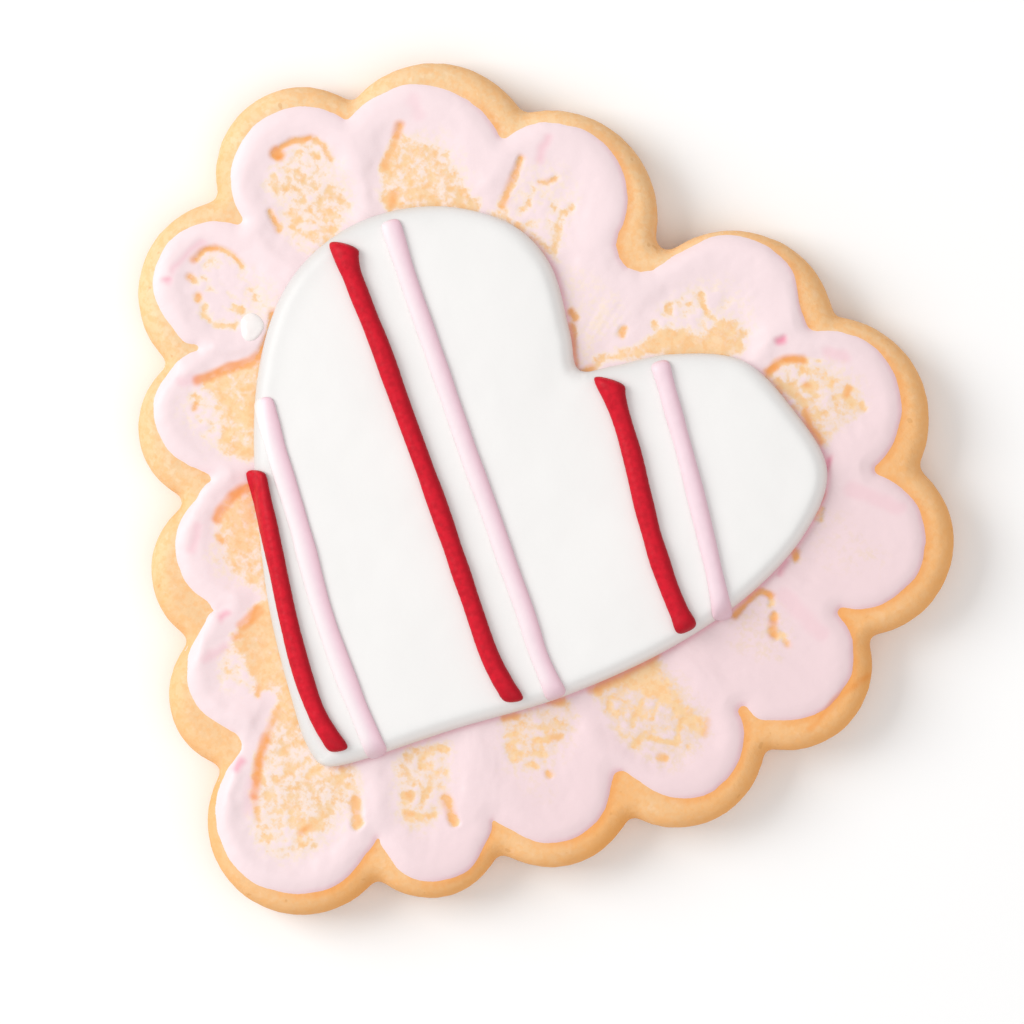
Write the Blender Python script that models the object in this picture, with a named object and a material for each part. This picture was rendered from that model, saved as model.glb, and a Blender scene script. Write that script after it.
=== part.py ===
"""Scalloped heart sugar cookie with brushed pink icing, a white icing heart and six piped lines.

Plan sizes are in millimetres here and become metres when a mesh is written. The frame has
+Z up, +Y from the heart's point to its lobes, and its origin under the middle of the cookie.
"""
import bpy
import bmesh
import numpy as np
from math import atan2, ceil, cos, exp, hypot, pi, sin, sqrt
from mathutils import Vector
from mathutils.geometry import delaunay_2d_cdt

MM = 0.001

# Heights, in millimetres
BISCUIT_TOP = 6.5
GAP = 0.3
WASH = 0.38
RIM_HEIGHT = 1.15
SPOKE_HEIGHT = 0.45
HEART_LIP = 0.25
HEART_EDGE_HEIGHT = 2.0
HEART_CROWN = 0.4
DROP_HEIGHT = 0.75

# Widths, in millimetres
RIM_CREST = 1.5
RIM_WIDTH = 4.6
SPOKE_WIDTH = 1.7
HEART_ROUNDING = 2.8
CREASE_DEPTH = 0.45
CREASE_WIDTH = 1.4

# How far the heart's crown takes to rise and its crease to fade, and the rim's lowest edge
CROWN_REACH = 6.0
CREASE_REACH = 7.0
RIM_FOOT = 0.12

# How finely curves are cut, in millimetres
BISCUIT_STEP = 1.9
PINK_STEP = 1.7
HEART_STEP = 1.8
LINE_STEP = 1.7
LINE_SIDES = 8
WINDOW_STEP = 1.8
WASH_PITCH = 2.6
WASH_REACH = 48.0
HEART_PITCH = 5.0
HEART_REACH = 40.0

# How close the points inside the pink icing may come to each other and to its edges
LEAST_SPACING = 0.62
INNER_CLEARANCE = 0.5
OUTER_CLEARANCE = 0.25

# Scallops of the biscuit, anticlockwise from the point: centre x and y, radius, and the
# radius of the fillet that joins each to the next
BISCUIT_SCALLOPS = [
    (1.0, -36.5, 10.5, 1.0),
    (13.0, -29.0, 8.5, 1.0),
    (22.0, -18.0, 9.6, 1.0),
    (31.5, -6.5, 9.8, 1.0),
    (37.5, 7.0, 9.4, 1.0),
    (37.0, 23.0, 10.4, 1.2),
    (26.5, 32.5, 11.5, 1.2),
    (12.5, 35.0, 11.5, 1.3),
    (-11.5, 35.0, 12.0, 1.2),
    (-25.5, 33.0, 11.5, 1.0),
    (-37.5, 24.5, 9.6, 1.2),
    (-37.0, 9.0, 10.4, 1.0),
    (-30.5, -4.5, 8.7, 1.0),
    (-20.5, -17.0, 9.0, 1.0),
    (-12.0, -28.0, 8.4, 1.0),
]

# Scallops of the pink icing, in the same order and form
PINK_SCALLOPS = [
    (0.0, -36.0, 9.0, 0.9),
    (14.0, -29.5, 5.7, 1.0),
    (22.0, -18.0, 6.8, 1.3),
    (32.0, -6.0, 6.6, 1.0),
    (37.0, 8.0, 7.1, 1.0),
    (36.5, 23.0, 7.6, 0.8),
    (25.5, 33.5, 8.6, 0.8),
    (11.0, 36.0, 9.2, 3.1),
    (-12.5, 37.0, 8.3, 0.8),
    (-26.5, 31.5, 9.7, 0.7),
    (-37.0, 24.0, 8.0, 0.8),
    (-39.0, 9.0, 6.9, 1.0),
    (-31.5, -3.0, 6.8, 1.5),
    (-21.5, -14.5, 6.8, 1.2),
    (-13.0, -25.5, 6.8, 1.6),
]

# Edge of the biscuit from its underside to its flat top: inset and height
BISCUIT_PROFILE = [
    (0.45, 0.0),
    (0.0, 0.7),
    (0.0, 4.0),
    (0.25, 5.2),
    (0.85, 6.05),
    (1.7, 6.4),
    (2.7, BISCUIT_TOP),
]

# Outline of the white heart, anticlockwise from its point
HEART_KNOTS = [
    (-0.3, -29.9), (2.6, -27.6), (10.0, -18.6), (18.2, -9.2), (25.2, 1.4), (29.6, 11.4),
    (31.2, 20.5), (29.5, 27.8), (22.5, 31.5), (15.0, 33.0), (8.0, 29.4), (3.2, 24.8),
    (0.2, 22.4), (-2.8, 25.4), (-8.8, 30.7), (-15.5, 32.0), (-23.4, 29.0), (-29.6, 22.6),
    (-32.2, 14.0), (-30.4, 4.8), (-25.0, -5.2), (-15.2, -17.8), (-5.8, -26.8), (-2.6, -29.2),
]

# Where the brush left the biscuit bare, mostly next to the heart
BARE_WINDOWS = {
    "right_lobe": [(1.5, 25.0), (5.0, 32.5), (8.0, 36.3), (12.5, 36.4), (14.2, 33.2), (9.0, 27.5)],
    "right_shoulder": [(18.2, 33.0), (20.6, 36.8), (22.0, 34.8), (26.5, 34.2), (27.4, 29.5)],
    "right_flank": [(21.0, -5.5), (25.5, -0.6), (33.2, -3.0), (33.0, -5.6), (26.0, -9.4)],
    "right_low": [(15.6, -12.5), (18.5, -10.0), (20.6, -13.5), (19.2, -17.6), (15.5, -17.0)],
    "right_drop": [(13.0, -25.2), (15.8, -26.2), (15.2, -28.0), (13.6, -27.6)],
    "point": [(2.8, -28.5), (4.6, -32.5), (2.5, -38.8), (-3.2, -39.4), (-6.6, -31.2), (-4.6, -26.4)],
    "left_foot": [(-9.4, -21.6), (-10.2, -27.0), (-14.6, -26.2), (-16.0, -20.5), (-12.4, -18.6)],
    "left_low": [(-21.6, -9.0), (-24.7, -9.4), (-24.6, -13.2), (-19.6, -16.6), (-16.4, -15.2)],
    "left_flank": [(-28.8, 2.6), (-33.4, 0.8), (-34.2, -3.4), (-29.5, -5.8), (-26.0, -3.0)],
    "left_shoulder": [(-26.4, 24.8), (-30.6, 34.4), (-25.5, 33.6), (-20.2, 32.0), (-20.0, 28.8)],
    "left_lobe": [(-16.4, 30.4), (-17.6, 38.2), (-13.6, 38.8), (-10.8, 36.8), (-9.2, 30.8)],
    "left_side": [(-31.2, 18.2), (-36.0, 18.6), (-39.6, 23.6), (-38.6, 27.6), (-31.6, 25.2)],
}

# Thick strokes of pink from the dips between scallops in to the heart
SPOKES = [
    ((9.0, -33.0), (4.4, -27.4)), ((18.2, -24.2), (10.8, -19.2)), ((26.6, -12.0), (19.4, -8.6)),
    ((36.0, 0.0), (27.2, 2.6)), ((39.0, 15.0), (31.6, 14.0)), ((33.2, 30.6), (29.8, 28.0)),
    ((18.4, 40.0), (15.6, 33.6)), ((-20.4, 39.8), (-18.0, 32.2)), ((-36.0, 31.6), (-29.4, 25.6)),
    ((-41.0, 16.2), (-33.0, 15.4)), ((-37.2, 1.9), (-31.6, 4.4)), ((-27.4, -9.4), (-25.6, -6.4)),
    ((-19.2, -21.4), (-16.6, -17.6)), ((-9.2, -32.4), (-8.6, -25.6)),
]

# Crease that runs into the white heart from its notch
HEART_CREASE = [(0.2, 22.4), (-2.2, 18.6), (-5.6, 12.0)]

# Fallen drop of white icing: centre x and y, half length and half width
WHITE_DROP = (-33.0, 7.0, 1.7, 1.4)

# Piped lines from their thick start to their end, their width and height, and their colour
PIPED_LINES = {
    "red_line_1": ([(-23.5, -6.9), (-21.0, -9.3), (-16.3, -14.0), (-12.2, -18.2), (-7.6, -22.5),
                    (-3.5, -25.6), (-0.9, -27.0)], 2.1, 1.25, "red"),
    "red_line_2": ([(-28.9, 20.0), (-26.3, 18.6), (-22.0, 15.4), (-15.7, 10.0), (-9.5, 5.3),
                    (-4.3, 1.4), (0.0, -1.9), (5.0, -6.3), (9.5, -9.9), (13.5, -12.0)],
                   2.2, 1.3, "red"),
    "red_line_3": ([(4.2, 22.6), (5.7, 21.5), (10.0, 17.8), (14.5, 13.4), (18.0, 10.2),
                    (22.0, 7.0), (25.2, 4.7)], 2.3, 1.3, "red"),
    "pink_line_1": ([(-27.2, 0.3), (-22.5, -3.8), (-16.5, -9.0), (-10.0, -15.0), (-4.0, -19.8),
                     (1.0, -23.4), (2.5, -24.2)], 2.3, 1.1, "pale"),
    "pink_line_2": ([(-25.9, 24.7), (-20.8, 20.5), (-15.5, 16.3), (-9.5, 11.5), (-5.0, 7.9),
                     (0.3, 3.8), (4.8, 0.2), (9.3, -3.3), (13.5, -6.8), (16.4, -8.6)],
                    2.1, 1.1, "pale"),
    "pink_line_3": ([(7.4, 27.6), (11.6, 24.0), (15.8, 20.2), (20.2, 16.0), (24.6, 11.7),
                     (27.5, 8.8)], 2.0, 1.1, "pale"),
}
START_BLOB = 1.42
BLOB_REACH = 2.6
BEAD_FOOT = 0.35

# Base colour as linear red, green and blue, and roughness
FINISHES = {
    "biscuit": ((0.82, 0.53, 0.25), 0.75),
    "pink": ((0.91, 0.72, 0.76), 0.45),
    "white": ((0.90, 0.88, 0.86), 0.45),
    "red": ((0.68, 0.02, 0.045), 0.35),
    "pale": ((0.93, 0.78, 0.82), 0.40),
}


def clear_scene():
    """Take away whatever objects the file opened with."""
    for old in list(bpy.data.objects):
        bpy.data.objects.remove(old, do_unlink=True)


def finish(name):
    """Principled material of one of the cookie's colours."""
    material = bpy.data.materials.get(name)
    if material is None:
        colour, roughness = FINISHES[name]
        material = bpy.data.materials.new(name)
        material.use_nodes = True
        shader = material.node_tree.nodes["Principled BSDF"]
        shader.inputs["Base Color"].default_value = (*colour, 1.0)
        shader.inputs["Roughness"].default_value = roughness
        shader.inputs["Metallic"].default_value = 0.0
    return material


def add_object(name, bm, finish_name):
    """Turn a mesh in millimetres into an object in metres."""
    bmesh.ops.triangulate(bm, faces=bm.faces[:])
    bmesh.ops.recalc_face_normals(bm, faces=bm.faces[:])
    bmesh.ops.scale(bm, vec=(MM, MM, MM), verts=bm.verts[:])
    mesh = bpy.data.meshes.new(name)
    bm.to_mesh(mesh)
    bm.free()
    mesh.materials.append(finish(finish_name))
    mesh.shade_smooth()
    mesh.set_sharp_from_angle(angle=pi / 5)
    thing = bpy.data.objects.new(name, mesh)
    bpy.context.collection.objects.link(thing)
    return thing


def arc_points(centre, radius, start, end, count):
    """Points along an arc from one angle towards another, without the last."""
    turns = [start + (end - start) * k / count for k in range(count)]
    return [(centre[0] + radius * cos(a), centre[1] + radius * sin(a)) for a in turns]


def fillet_centre(first, second):
    """Centre of the fillet that touches two neighbouring scallops on their outer side."""
    x1, y1, r1, fillet = first
    x2, y2, r2, _ = second
    apart = hypot(x2 - x1, y2 - y1)
    along = ((x2 - x1) / apart, (y2 - y1) / apart)
    reach = ((r1 + fillet) ** 2 - (r2 + fillet) ** 2 + apart ** 2) / (2 * apart)
    rise = sqrt(max((r1 + fillet) ** 2 - reach ** 2, 0.0))
    return x1 + along[0] * reach + along[1] * rise, y1 + along[1] * reach - along[0] * rise


def scalloped_outline(scallops, inset, step):
    """Scallops joined by tangent fillets and drawn in by an inset, anticlockwise."""
    points = []
    number = len(scallops)
    fillets = [fillet_centre(scallops[i], scallops[(i + 1) % number]) for i in range(number)]
    for i, (x, y, radius, fillet) in enumerate(scallops):
        before = fillets[i - 1]
        after = fillets[i]
        start = atan2(before[1] - y, before[0] - x)
        end = atan2(after[1] - y, after[0] - x)
        while end < start:
            end += 2 * pi
        count = ceil((end - start) * radius / step)
        points += arc_points((x, y), radius - inset, start, end, count)
        following = scallops[(i + 1) % number]
        start = atan2(y - after[1], x - after[0])
        end = atan2(following[1] - after[1], following[0] - after[0])
        while end > start:
            end -= 2 * pi
        points += arc_points(after, fillet + inset, start, end, 4)
    return points


def smooth_curve(knots, step, closed):
    """Evenly spaced points on a Catmull-Rom curve through the knots."""
    count = len(knots)
    spans = count if closed else count - 1
    fine = []
    for i in range(spans):
        if closed:
            ends = [knots[(i + k) % count] for k in (-1, 0, 1, 2)]
        else:
            ends = [knots[min(max(i + k, 0), count - 1)] for k in (-1, 0, 1, 2)]
        a, b, c, d = [Vector(p) for p in ends]
        for k in range(24):
            t = k / 24
            fine.append(0.5 * (2 * b + (c - a) * t + (2 * a - 5 * b + 4 * c - d) * t * t
                               + (3 * b - a - 3 * c + d) * t ** 3))
    fine.append(Vector(knots[0]) if closed else Vector(knots[-1]))
    run = np.cumsum([0.0] + [(q - p).length for p, q in zip(fine, fine[1:])])
    parts = ceil(run[-1] / step)
    wanted = np.linspace(0.0, run[-1], parts + 1)
    xs = np.interp(wanted, run, [p.x for p in fine])
    ys = np.interp(wanted, run, [p.y for p in fine])
    points = [(float(x), float(y)) for x, y in zip(xs, ys)]
    return points[:-1] if closed else points


def distance_to(points, x, y, closed=True):
    """Shortest distance from a place to a line of points."""
    starts = np.array(points)
    ends = np.roll(starts, -1, axis=0)
    if not closed:
        starts, ends = starts[:-1], ends[:-1]
    along = ends - starts
    offset = np.array((x, y)) - starts
    share = np.clip((offset * along).sum(1) / np.maximum((along ** 2).sum(1), 1e-12), 0.0, 1.0)
    return float(np.sqrt(((offset - share[:, None] * along) ** 2).sum(1).min()))


def is_inside(points, x, y):
    """Whether a place lies inside a closed outline."""
    starts = np.array(points)
    ends = np.roll(starts, -1, axis=0)
    crosses = (starts[:, 1] > y) != (ends[:, 1] > y)
    rise = np.where(crosses, ends[:, 1] - starts[:, 1], 1.0)
    where = starts[:, 0] + (y - starts[:, 1]) / rise * (ends[:, 0] - starts[:, 0])
    return int((crosses & (where > x)).sum()) % 2 == 1


def moved_sideways(points, amount):
    """Closed anticlockwise outline moved outwards by an amount, or inwards if negative."""
    ring = np.array(points)
    along = np.roll(ring, -1, axis=0) - np.roll(ring, 1, axis=0)
    along /= np.linalg.norm(along, axis=1)[:, None]
    outward = np.stack((along[:, 1], -along[:, 0]), axis=1)
    return [(float(x), float(y)) for x, y in ring + amount * outward]


def grid_points(reach, pitch):
    """Staggered grid of places over the cookie."""
    rows = int(reach / (pitch * 0.87))
    columns = int(reach / pitch)
    return [((i + 0.5 * (j % 2)) * pitch, j * pitch * 0.87)
            for j in range(-rows, rows + 1) for i in range(-columns, columns + 1)]


def relief_solid(name, outline, cutouts, inner_points, top, bottom, finish_name):
    """Solid with a flat underside over the outline less its cutouts, shaped by top(x, y)."""
    loops = [outline] + cutouts
    places = []
    edges = []
    for loop in loops:
        first = len(places)
        places += loop
        edges += [(first + k, first + (k + 1) % len(loop)) for k in range(len(loop))]
    places += inner_points
    verts, _, faces, *_ = delaunay_2d_cdt([Vector(p) for p in places], edges, [], 0, 1e-5)
    bm = bmesh.new()
    upper = [bm.verts.new((p.x, p.y, top(p.x, p.y))) for p in verts]
    for face in faces:
        middle = sum((verts[k] for k in face), Vector((0.0, 0.0))) / 3
        if is_inside(outline, *middle) and not any(is_inside(c, *middle) for c in cutouts):
            bm.faces.new([upper[k] for k in face])
    bmesh.ops.delete(bm, geom=[v for v in bm.verts if not v.link_faces], context="VERTS")
    rim = [edge for edge in bm.edges if edge.is_boundary]
    made = bmesh.ops.extrude_edge_only(bm, edges=rim)["geom"]
    for vert in made:
        if isinstance(vert, bmesh.types.BMVert):
            vert.co.z = bottom
    lower = [edge for edge in made if isinstance(edge, bmesh.types.BMEdge) and edge.is_boundary]
    bmesh.ops.triangle_fill(bm, use_beauty=True, use_dissolve=False, edges=lower)
    return add_object(name, bm, finish_name)


HEART_OUTLINE = smooth_curve(HEART_KNOTS, HEART_STEP, closed=True)
HEART_BASE = BISCUIT_TOP + GAP


def heart_top(x, y, clearance=0.0):
    """Height of the white heart: a soft round edge, a low crown and the notch's crease.

    With a clearance it is the height of a surface that stands clear of the heart all round.
    """
    inside = distance_to(HEART_OUTLINE, x, y) if is_inside(HEART_OUTLINE, x, y) else 0.0
    inside += clearance
    edge = 1.0 - min(inside / HEART_ROUNDING, 1.0)
    crown = HEART_CROWN * (1.0 - exp(-inside / CROWN_REACH))
    away = distance_to(HEART_CREASE, x, y, closed=False)
    fade = exp(-hypot(x - HEART_CREASE[0][0], y - HEART_CREASE[0][1]) / CREASE_REACH)
    crease = CREASE_DEPTH * fade * exp(-(away / CREASE_WIDTH) ** 2)
    rise = HEART_EDGE_HEIGHT * sqrt(1.0 - edge ** 2) + crown - crease
    return HEART_BASE + HEART_LIP + rise + clearance


def pink_top(x, y):
    """Height of the pink icing: a brushed wash, a piped rim, spokes and the fallen drop."""
    inside = distance_to(PINK_OUTLINE, x, y)
    if inside < RIM_CREST:
        swell = sqrt(1.0 - (1.0 - inside / RIM_CREST) ** 2)
        rim = RIM_FOOT + (RIM_HEIGHT - RIM_FOOT) * swell
    elif inside < RIM_WIDTH:
        rim = RIM_HEIGHT * 0.5 * (1.0 + cos(pi * (inside - RIM_CREST) / (RIM_WIDTH - RIM_CREST)))
    else:
        rim = 0.0
    spoke = max(exp(-(distance_to(s, x, y, closed=False) / SPOKE_WIDTH) ** 2) for s in SPOKES)
    share = min(inside / RIM_CREST, 1.0)
    long_way = (x - WHITE_DROP[0]) / WHITE_DROP[2]
    wide_way = (y - WHITE_DROP[1]) / WHITE_DROP[3]
    drop = DROP_HEIGHT * sqrt(max(1.0 - long_way ** 2 - wide_way ** 2, 0.0))
    body = max(rim, WASH * share + SPOKE_HEIGHT * spoke * share)
    return BISCUIT_TOP + GAP + body + drop


PINK_OUTLINE = scalloped_outline(PINK_SCALLOPS, 0.0, PINK_STEP)


def make_biscuit():
    """Baked biscuit: its scalloped outline lofted through the rounded edge."""
    bm = bmesh.new()
    rings = []
    for inset, height in BISCUIT_PROFILE:
        outline = scalloped_outline(BISCUIT_SCALLOPS, inset, BISCUIT_STEP)
        rings.append([bm.verts.new((x, y, height)) for x, y in outline])
    for low, high in zip(rings, rings[1:]):
        for k in range(len(low)):
            after = (k + 1) % len(low)
            bm.faces.new((low[k], low[after], high[after], high[k]))
    bm.faces.new(rings[0][::-1])
    bm.faces.new(rings[-1])
    return add_object("biscuit", bm, "biscuit")


def make_pink_icing():
    """Pink icing between its scalloped rim and the white heart, open at the bare windows."""
    heart_edge = moved_sideways(HEART_OUTLINE, GAP)
    windows = [smooth_curve(k, WINDOW_STEP, closed=True) for k in BARE_WINDOWS.values()]
    insets = (0.3, 0.8, 1.5, 2.9, RIM_WIDTH)
    candidates = [p for inset in insets for p in scalloped_outline(PINK_SCALLOPS, inset, PINK_STEP)]
    x, y, half_length, half_width = WHITE_DROP
    candidates += [(x, y)] + [(x + share * half_length * cos(a * pi / 5),
                               y + share * half_width * sin(a * pi / 5))
                              for share in (0.6, 0.95) for a in range(10)]
    candidates += grid_points(WASH_REACH, WASH_PITCH)
    chosen = []
    for place in candidates:
        if not is_inside(PINK_OUTLINE, *place) or is_inside(heart_edge, *place):
            continue
        if any(is_inside(w, *place) or distance_to(w, *place) < INNER_CLEARANCE for w in windows):
            continue
        if distance_to(heart_edge, *place) < INNER_CLEARANCE:
            continue
        if distance_to(PINK_OUTLINE, *place) < OUTER_CLEARANCE:
            continue
        if all(hypot(place[0] - q[0], place[1] - q[1]) > LEAST_SPACING for q in chosen):
            chosen.append(place)
    return relief_solid("pink_icing", PINK_OUTLINE, [heart_edge] + windows, chosen,
                        pink_top, BISCUIT_TOP + GAP, "pink")


def make_white_heart():
    """White icing heart with a pillowy edge."""
    inner = []
    for inset in (0.2, 0.65, 1.4, 2.6, 4.6):
        for place in moved_sideways(HEART_OUTLINE, -inset):
            clear = distance_to(HEART_OUTLINE, *place) > 0.96 * inset
            if clear and is_inside(HEART_OUTLINE, *place):
                inner.append(place)
    crease = smooth_curve(HEART_CREASE, 1.6, closed=False)[1:]
    sides = [(x + side, y) for x, y in crease for side in (-1.6, 0.0, 1.6)]
    for place in sides + grid_points(HEART_REACH, HEART_PITCH):
        if is_inside(HEART_OUTLINE, *place) and distance_to(HEART_OUTLINE, *place) > 5.4:
            inner.append(place)
    return relief_solid("white_heart", HEART_OUTLINE, [], inner, heart_top, HEART_BASE, "white")


def make_piped_line(name, knots, width, height, finish_name):
    """Bead of icing that follows the heart's top, thick where the piping began."""
    route = [Vector(p) for p in smooth_curve(knots, LINE_STEP, closed=False)]
    length = LINE_STEP * (len(route) - 1)
    bm = bmesh.new()
    rings = []
    for k, place in enumerate(route):
        run = length * k / (len(route) - 1)
        swell = 1.0 + (START_BLOB - 1.0) * exp(-(run / BLOB_REACH) ** 2)
        end = min(run + 0.35, length - run + 0.35) / (0.5 * width)
        half = 0.5 * width * swell * sqrt(1.0 - max(1.0 - end, 0.0) ** 2)
        tall = height * min(swell, 1.2) * (half / (0.5 * width * swell))
        way = (route[min(k + 1, len(route) - 1)] - route[max(k - 1, 0)]).normalized()
        ring = []
        for side in range(LINE_SIDES):
            angle = 2 * pi * (side + 0.5) / LINE_SIDES
            across = half * cos(angle)
            x = place.x - way.y * across
            y = place.y + way.x * across
            lift = BEAD_FOOT * (1.0 + min(sin(angle), 0.0) / cos(pi / LINE_SIDES))
            lift += (1.0 - BEAD_FOOT) * max(sin(angle), 0.0)
            ring.append(bm.verts.new((x, y, heart_top(x, y, GAP) + tall * lift)))
        rings.append(ring)
    for low, high in zip(rings, rings[1:]):
        for side in range(LINE_SIDES):
            after = (side + 1) % LINE_SIDES
            bm.faces.new((low[side], low[after], high[after], high[side]))
    bm.faces.new(rings[0][::-1])
    bm.faces.new(rings[-1])
    return add_object(name, bm, finish_name)


clear_scene()
make_biscuit()
make_pink_icing()
make_white_heart()
for line_name, (line_knots, line_width, line_height, line_finish) in PIPED_LINES.items():
    make_piped_line(line_name, line_knots, line_width, line_height, line_finish)
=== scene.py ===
"""Scalloped heart sugar cookie: baked biscuit, brushed pink icing, white heart and piped lines.

Plan sizes are in millimetres in the tables and become metres when a mesh is shaped. The frame
has +Z up, +Y from the heart's point to its lobes, and its origin under the cookie's middle.
"""
from math import atan2, ceil, cos, hypot, pi, radians, sin, sqrt

import bpy
import numpy as np
from bpy.props import FloatProperty, FloatVectorProperty, PointerProperty
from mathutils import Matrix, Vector
from mathutils.bvhtree import BVHTree


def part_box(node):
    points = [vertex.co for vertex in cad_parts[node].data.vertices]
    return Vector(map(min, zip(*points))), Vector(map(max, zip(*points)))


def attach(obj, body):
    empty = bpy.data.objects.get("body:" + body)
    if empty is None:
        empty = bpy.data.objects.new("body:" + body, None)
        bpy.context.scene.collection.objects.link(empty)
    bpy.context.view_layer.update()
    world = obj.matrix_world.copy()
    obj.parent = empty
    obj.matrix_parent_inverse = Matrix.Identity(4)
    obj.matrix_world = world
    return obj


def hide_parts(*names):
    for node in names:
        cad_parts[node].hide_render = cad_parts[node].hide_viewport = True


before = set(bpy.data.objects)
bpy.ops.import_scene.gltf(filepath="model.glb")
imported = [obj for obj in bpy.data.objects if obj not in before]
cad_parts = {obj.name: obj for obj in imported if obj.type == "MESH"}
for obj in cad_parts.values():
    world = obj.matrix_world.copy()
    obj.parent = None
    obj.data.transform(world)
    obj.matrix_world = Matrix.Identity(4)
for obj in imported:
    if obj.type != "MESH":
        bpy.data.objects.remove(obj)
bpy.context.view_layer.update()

bl_info = {
    "name": "Iced Heart Cookie",
    "version": (1, 0, 0),
    "blender": (4, 5, 0),
    "location": "View3D > Sidebar > Cookie",
    "description": "Bakes and ices a scalloped heart sugar cookie",
    "category": "Object",
}

MM = 0.001
BISCUIT_LOW, BISCUIT_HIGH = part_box("biscuit")

# Scallops of the biscuit, anticlockwise from the point: centre x and y, radius, and the
# radius of the fillet that joins each to the next, in millimetres
BISCUIT_SCALLOPS = [
    (1.0, -36.5, 10.5, 1.0),
    (13.0, -29.0, 8.5, 1.0),
    (22.0, -18.0, 9.6, 1.0),
    (31.5, -6.5, 9.8, 1.0),
    (37.5, 7.0, 9.4, 1.0),
    (37.0, 23.0, 10.4, 1.2),
    (26.5, 32.5, 11.5, 1.2),
    (12.5, 35.0, 11.5, 1.3),
    (-11.5, 35.0, 12.0, 1.2),
    (-25.5, 33.0, 11.5, 1.0),
    (-37.5, 24.5, 9.6, 1.2),
    (-37.0, 9.0, 10.4, 1.0),
    (-30.5, -4.5, 8.7, 1.0),
    (-20.5, -17.0, 9.0, 1.0),
    (-12.0, -28.0, 8.4, 1.0),
]

# Scallops of the pink icing, in the same order and form
PINK_SCALLOPS = [
    (0.0, -36.0, 9.0, 0.6),
    (14.0, -29.5, 5.7, 0.95),
    (22.0, -18.0, 6.8, 1.3),
    (32.0, -6.0, 6.6, 0.8),
    (37.0, 8.0, 7.1, 0.6),
    (36.5, 23.0, 7.6, 0.7),
    (25.5, 33.5, 8.6, 0.8),
    (11.0, 36.0, 9.2, 3.1),
    (-12.5, 37.0, 8.3, 0.7),
    (-26.5, 31.5, 9.7, 0.6),
    (-37.0, 24.0, 8.0, 0.6),
    (-39.0, 9.0, 6.9, 0.6),
    (-31.5, -3.0, 6.8, 1.05),
    (-21.5, -14.5, 6.8, 0.6),
    (-13.0, -25.5, 6.8, 1.5),
]

# Where the icing's edge strays from its scallops: x, y, reach and how far it draws back
EDGE_STRAYS = [
    (17.9, 42.7, 2.4, 1.2),
    (2.4, 40.2, 2.4, 0.35),
    (9.4, -33.8, 1.2, -0.4),
    (18.5, -25.6, 1.8, -0.9),
    (28.2, -11.9, 1.7, -1.1),
    (37.6, 0.5, 1.8, -0.7),
    (-9.4, -32.6, 1.3, -0.4),
    (-19.4, -22.2, 1.3, -0.9),
    (-27.4, -10.4, 1.4, -1.0),
    (-38.3, 1.6, 1.2, -0.4),
]

# Outline of the white heart, anticlockwise from its point
HEART_KNOTS = [
    (-0.3, -29.9), (2.6, -27.6), (10.0, -18.6), (18.2, -9.2), (25.2, 1.4), (29.6, 11.4),
    (31.2, 20.5), (29.5, 27.8), (22.5, 31.5), (15.0, 33.0), (8.0, 29.4), (3.2, 24.8),
    (0.2, 22.4), (-2.8, 25.4), (-8.8, 30.7), (-15.5, 32.0), (-23.4, 29.0), (-29.6, 22.6),
    (-32.2, 14.0), (-30.4, 4.8), (-25.0, -5.2), (-15.2, -17.8), (-5.8, -26.8), (-2.6, -29.2),
]
HEART_CREASE = [(-4.0, 24.7), (-3.0, 22.9), (-2.0, 21.1), (-1.0, 19.3)]

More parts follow.
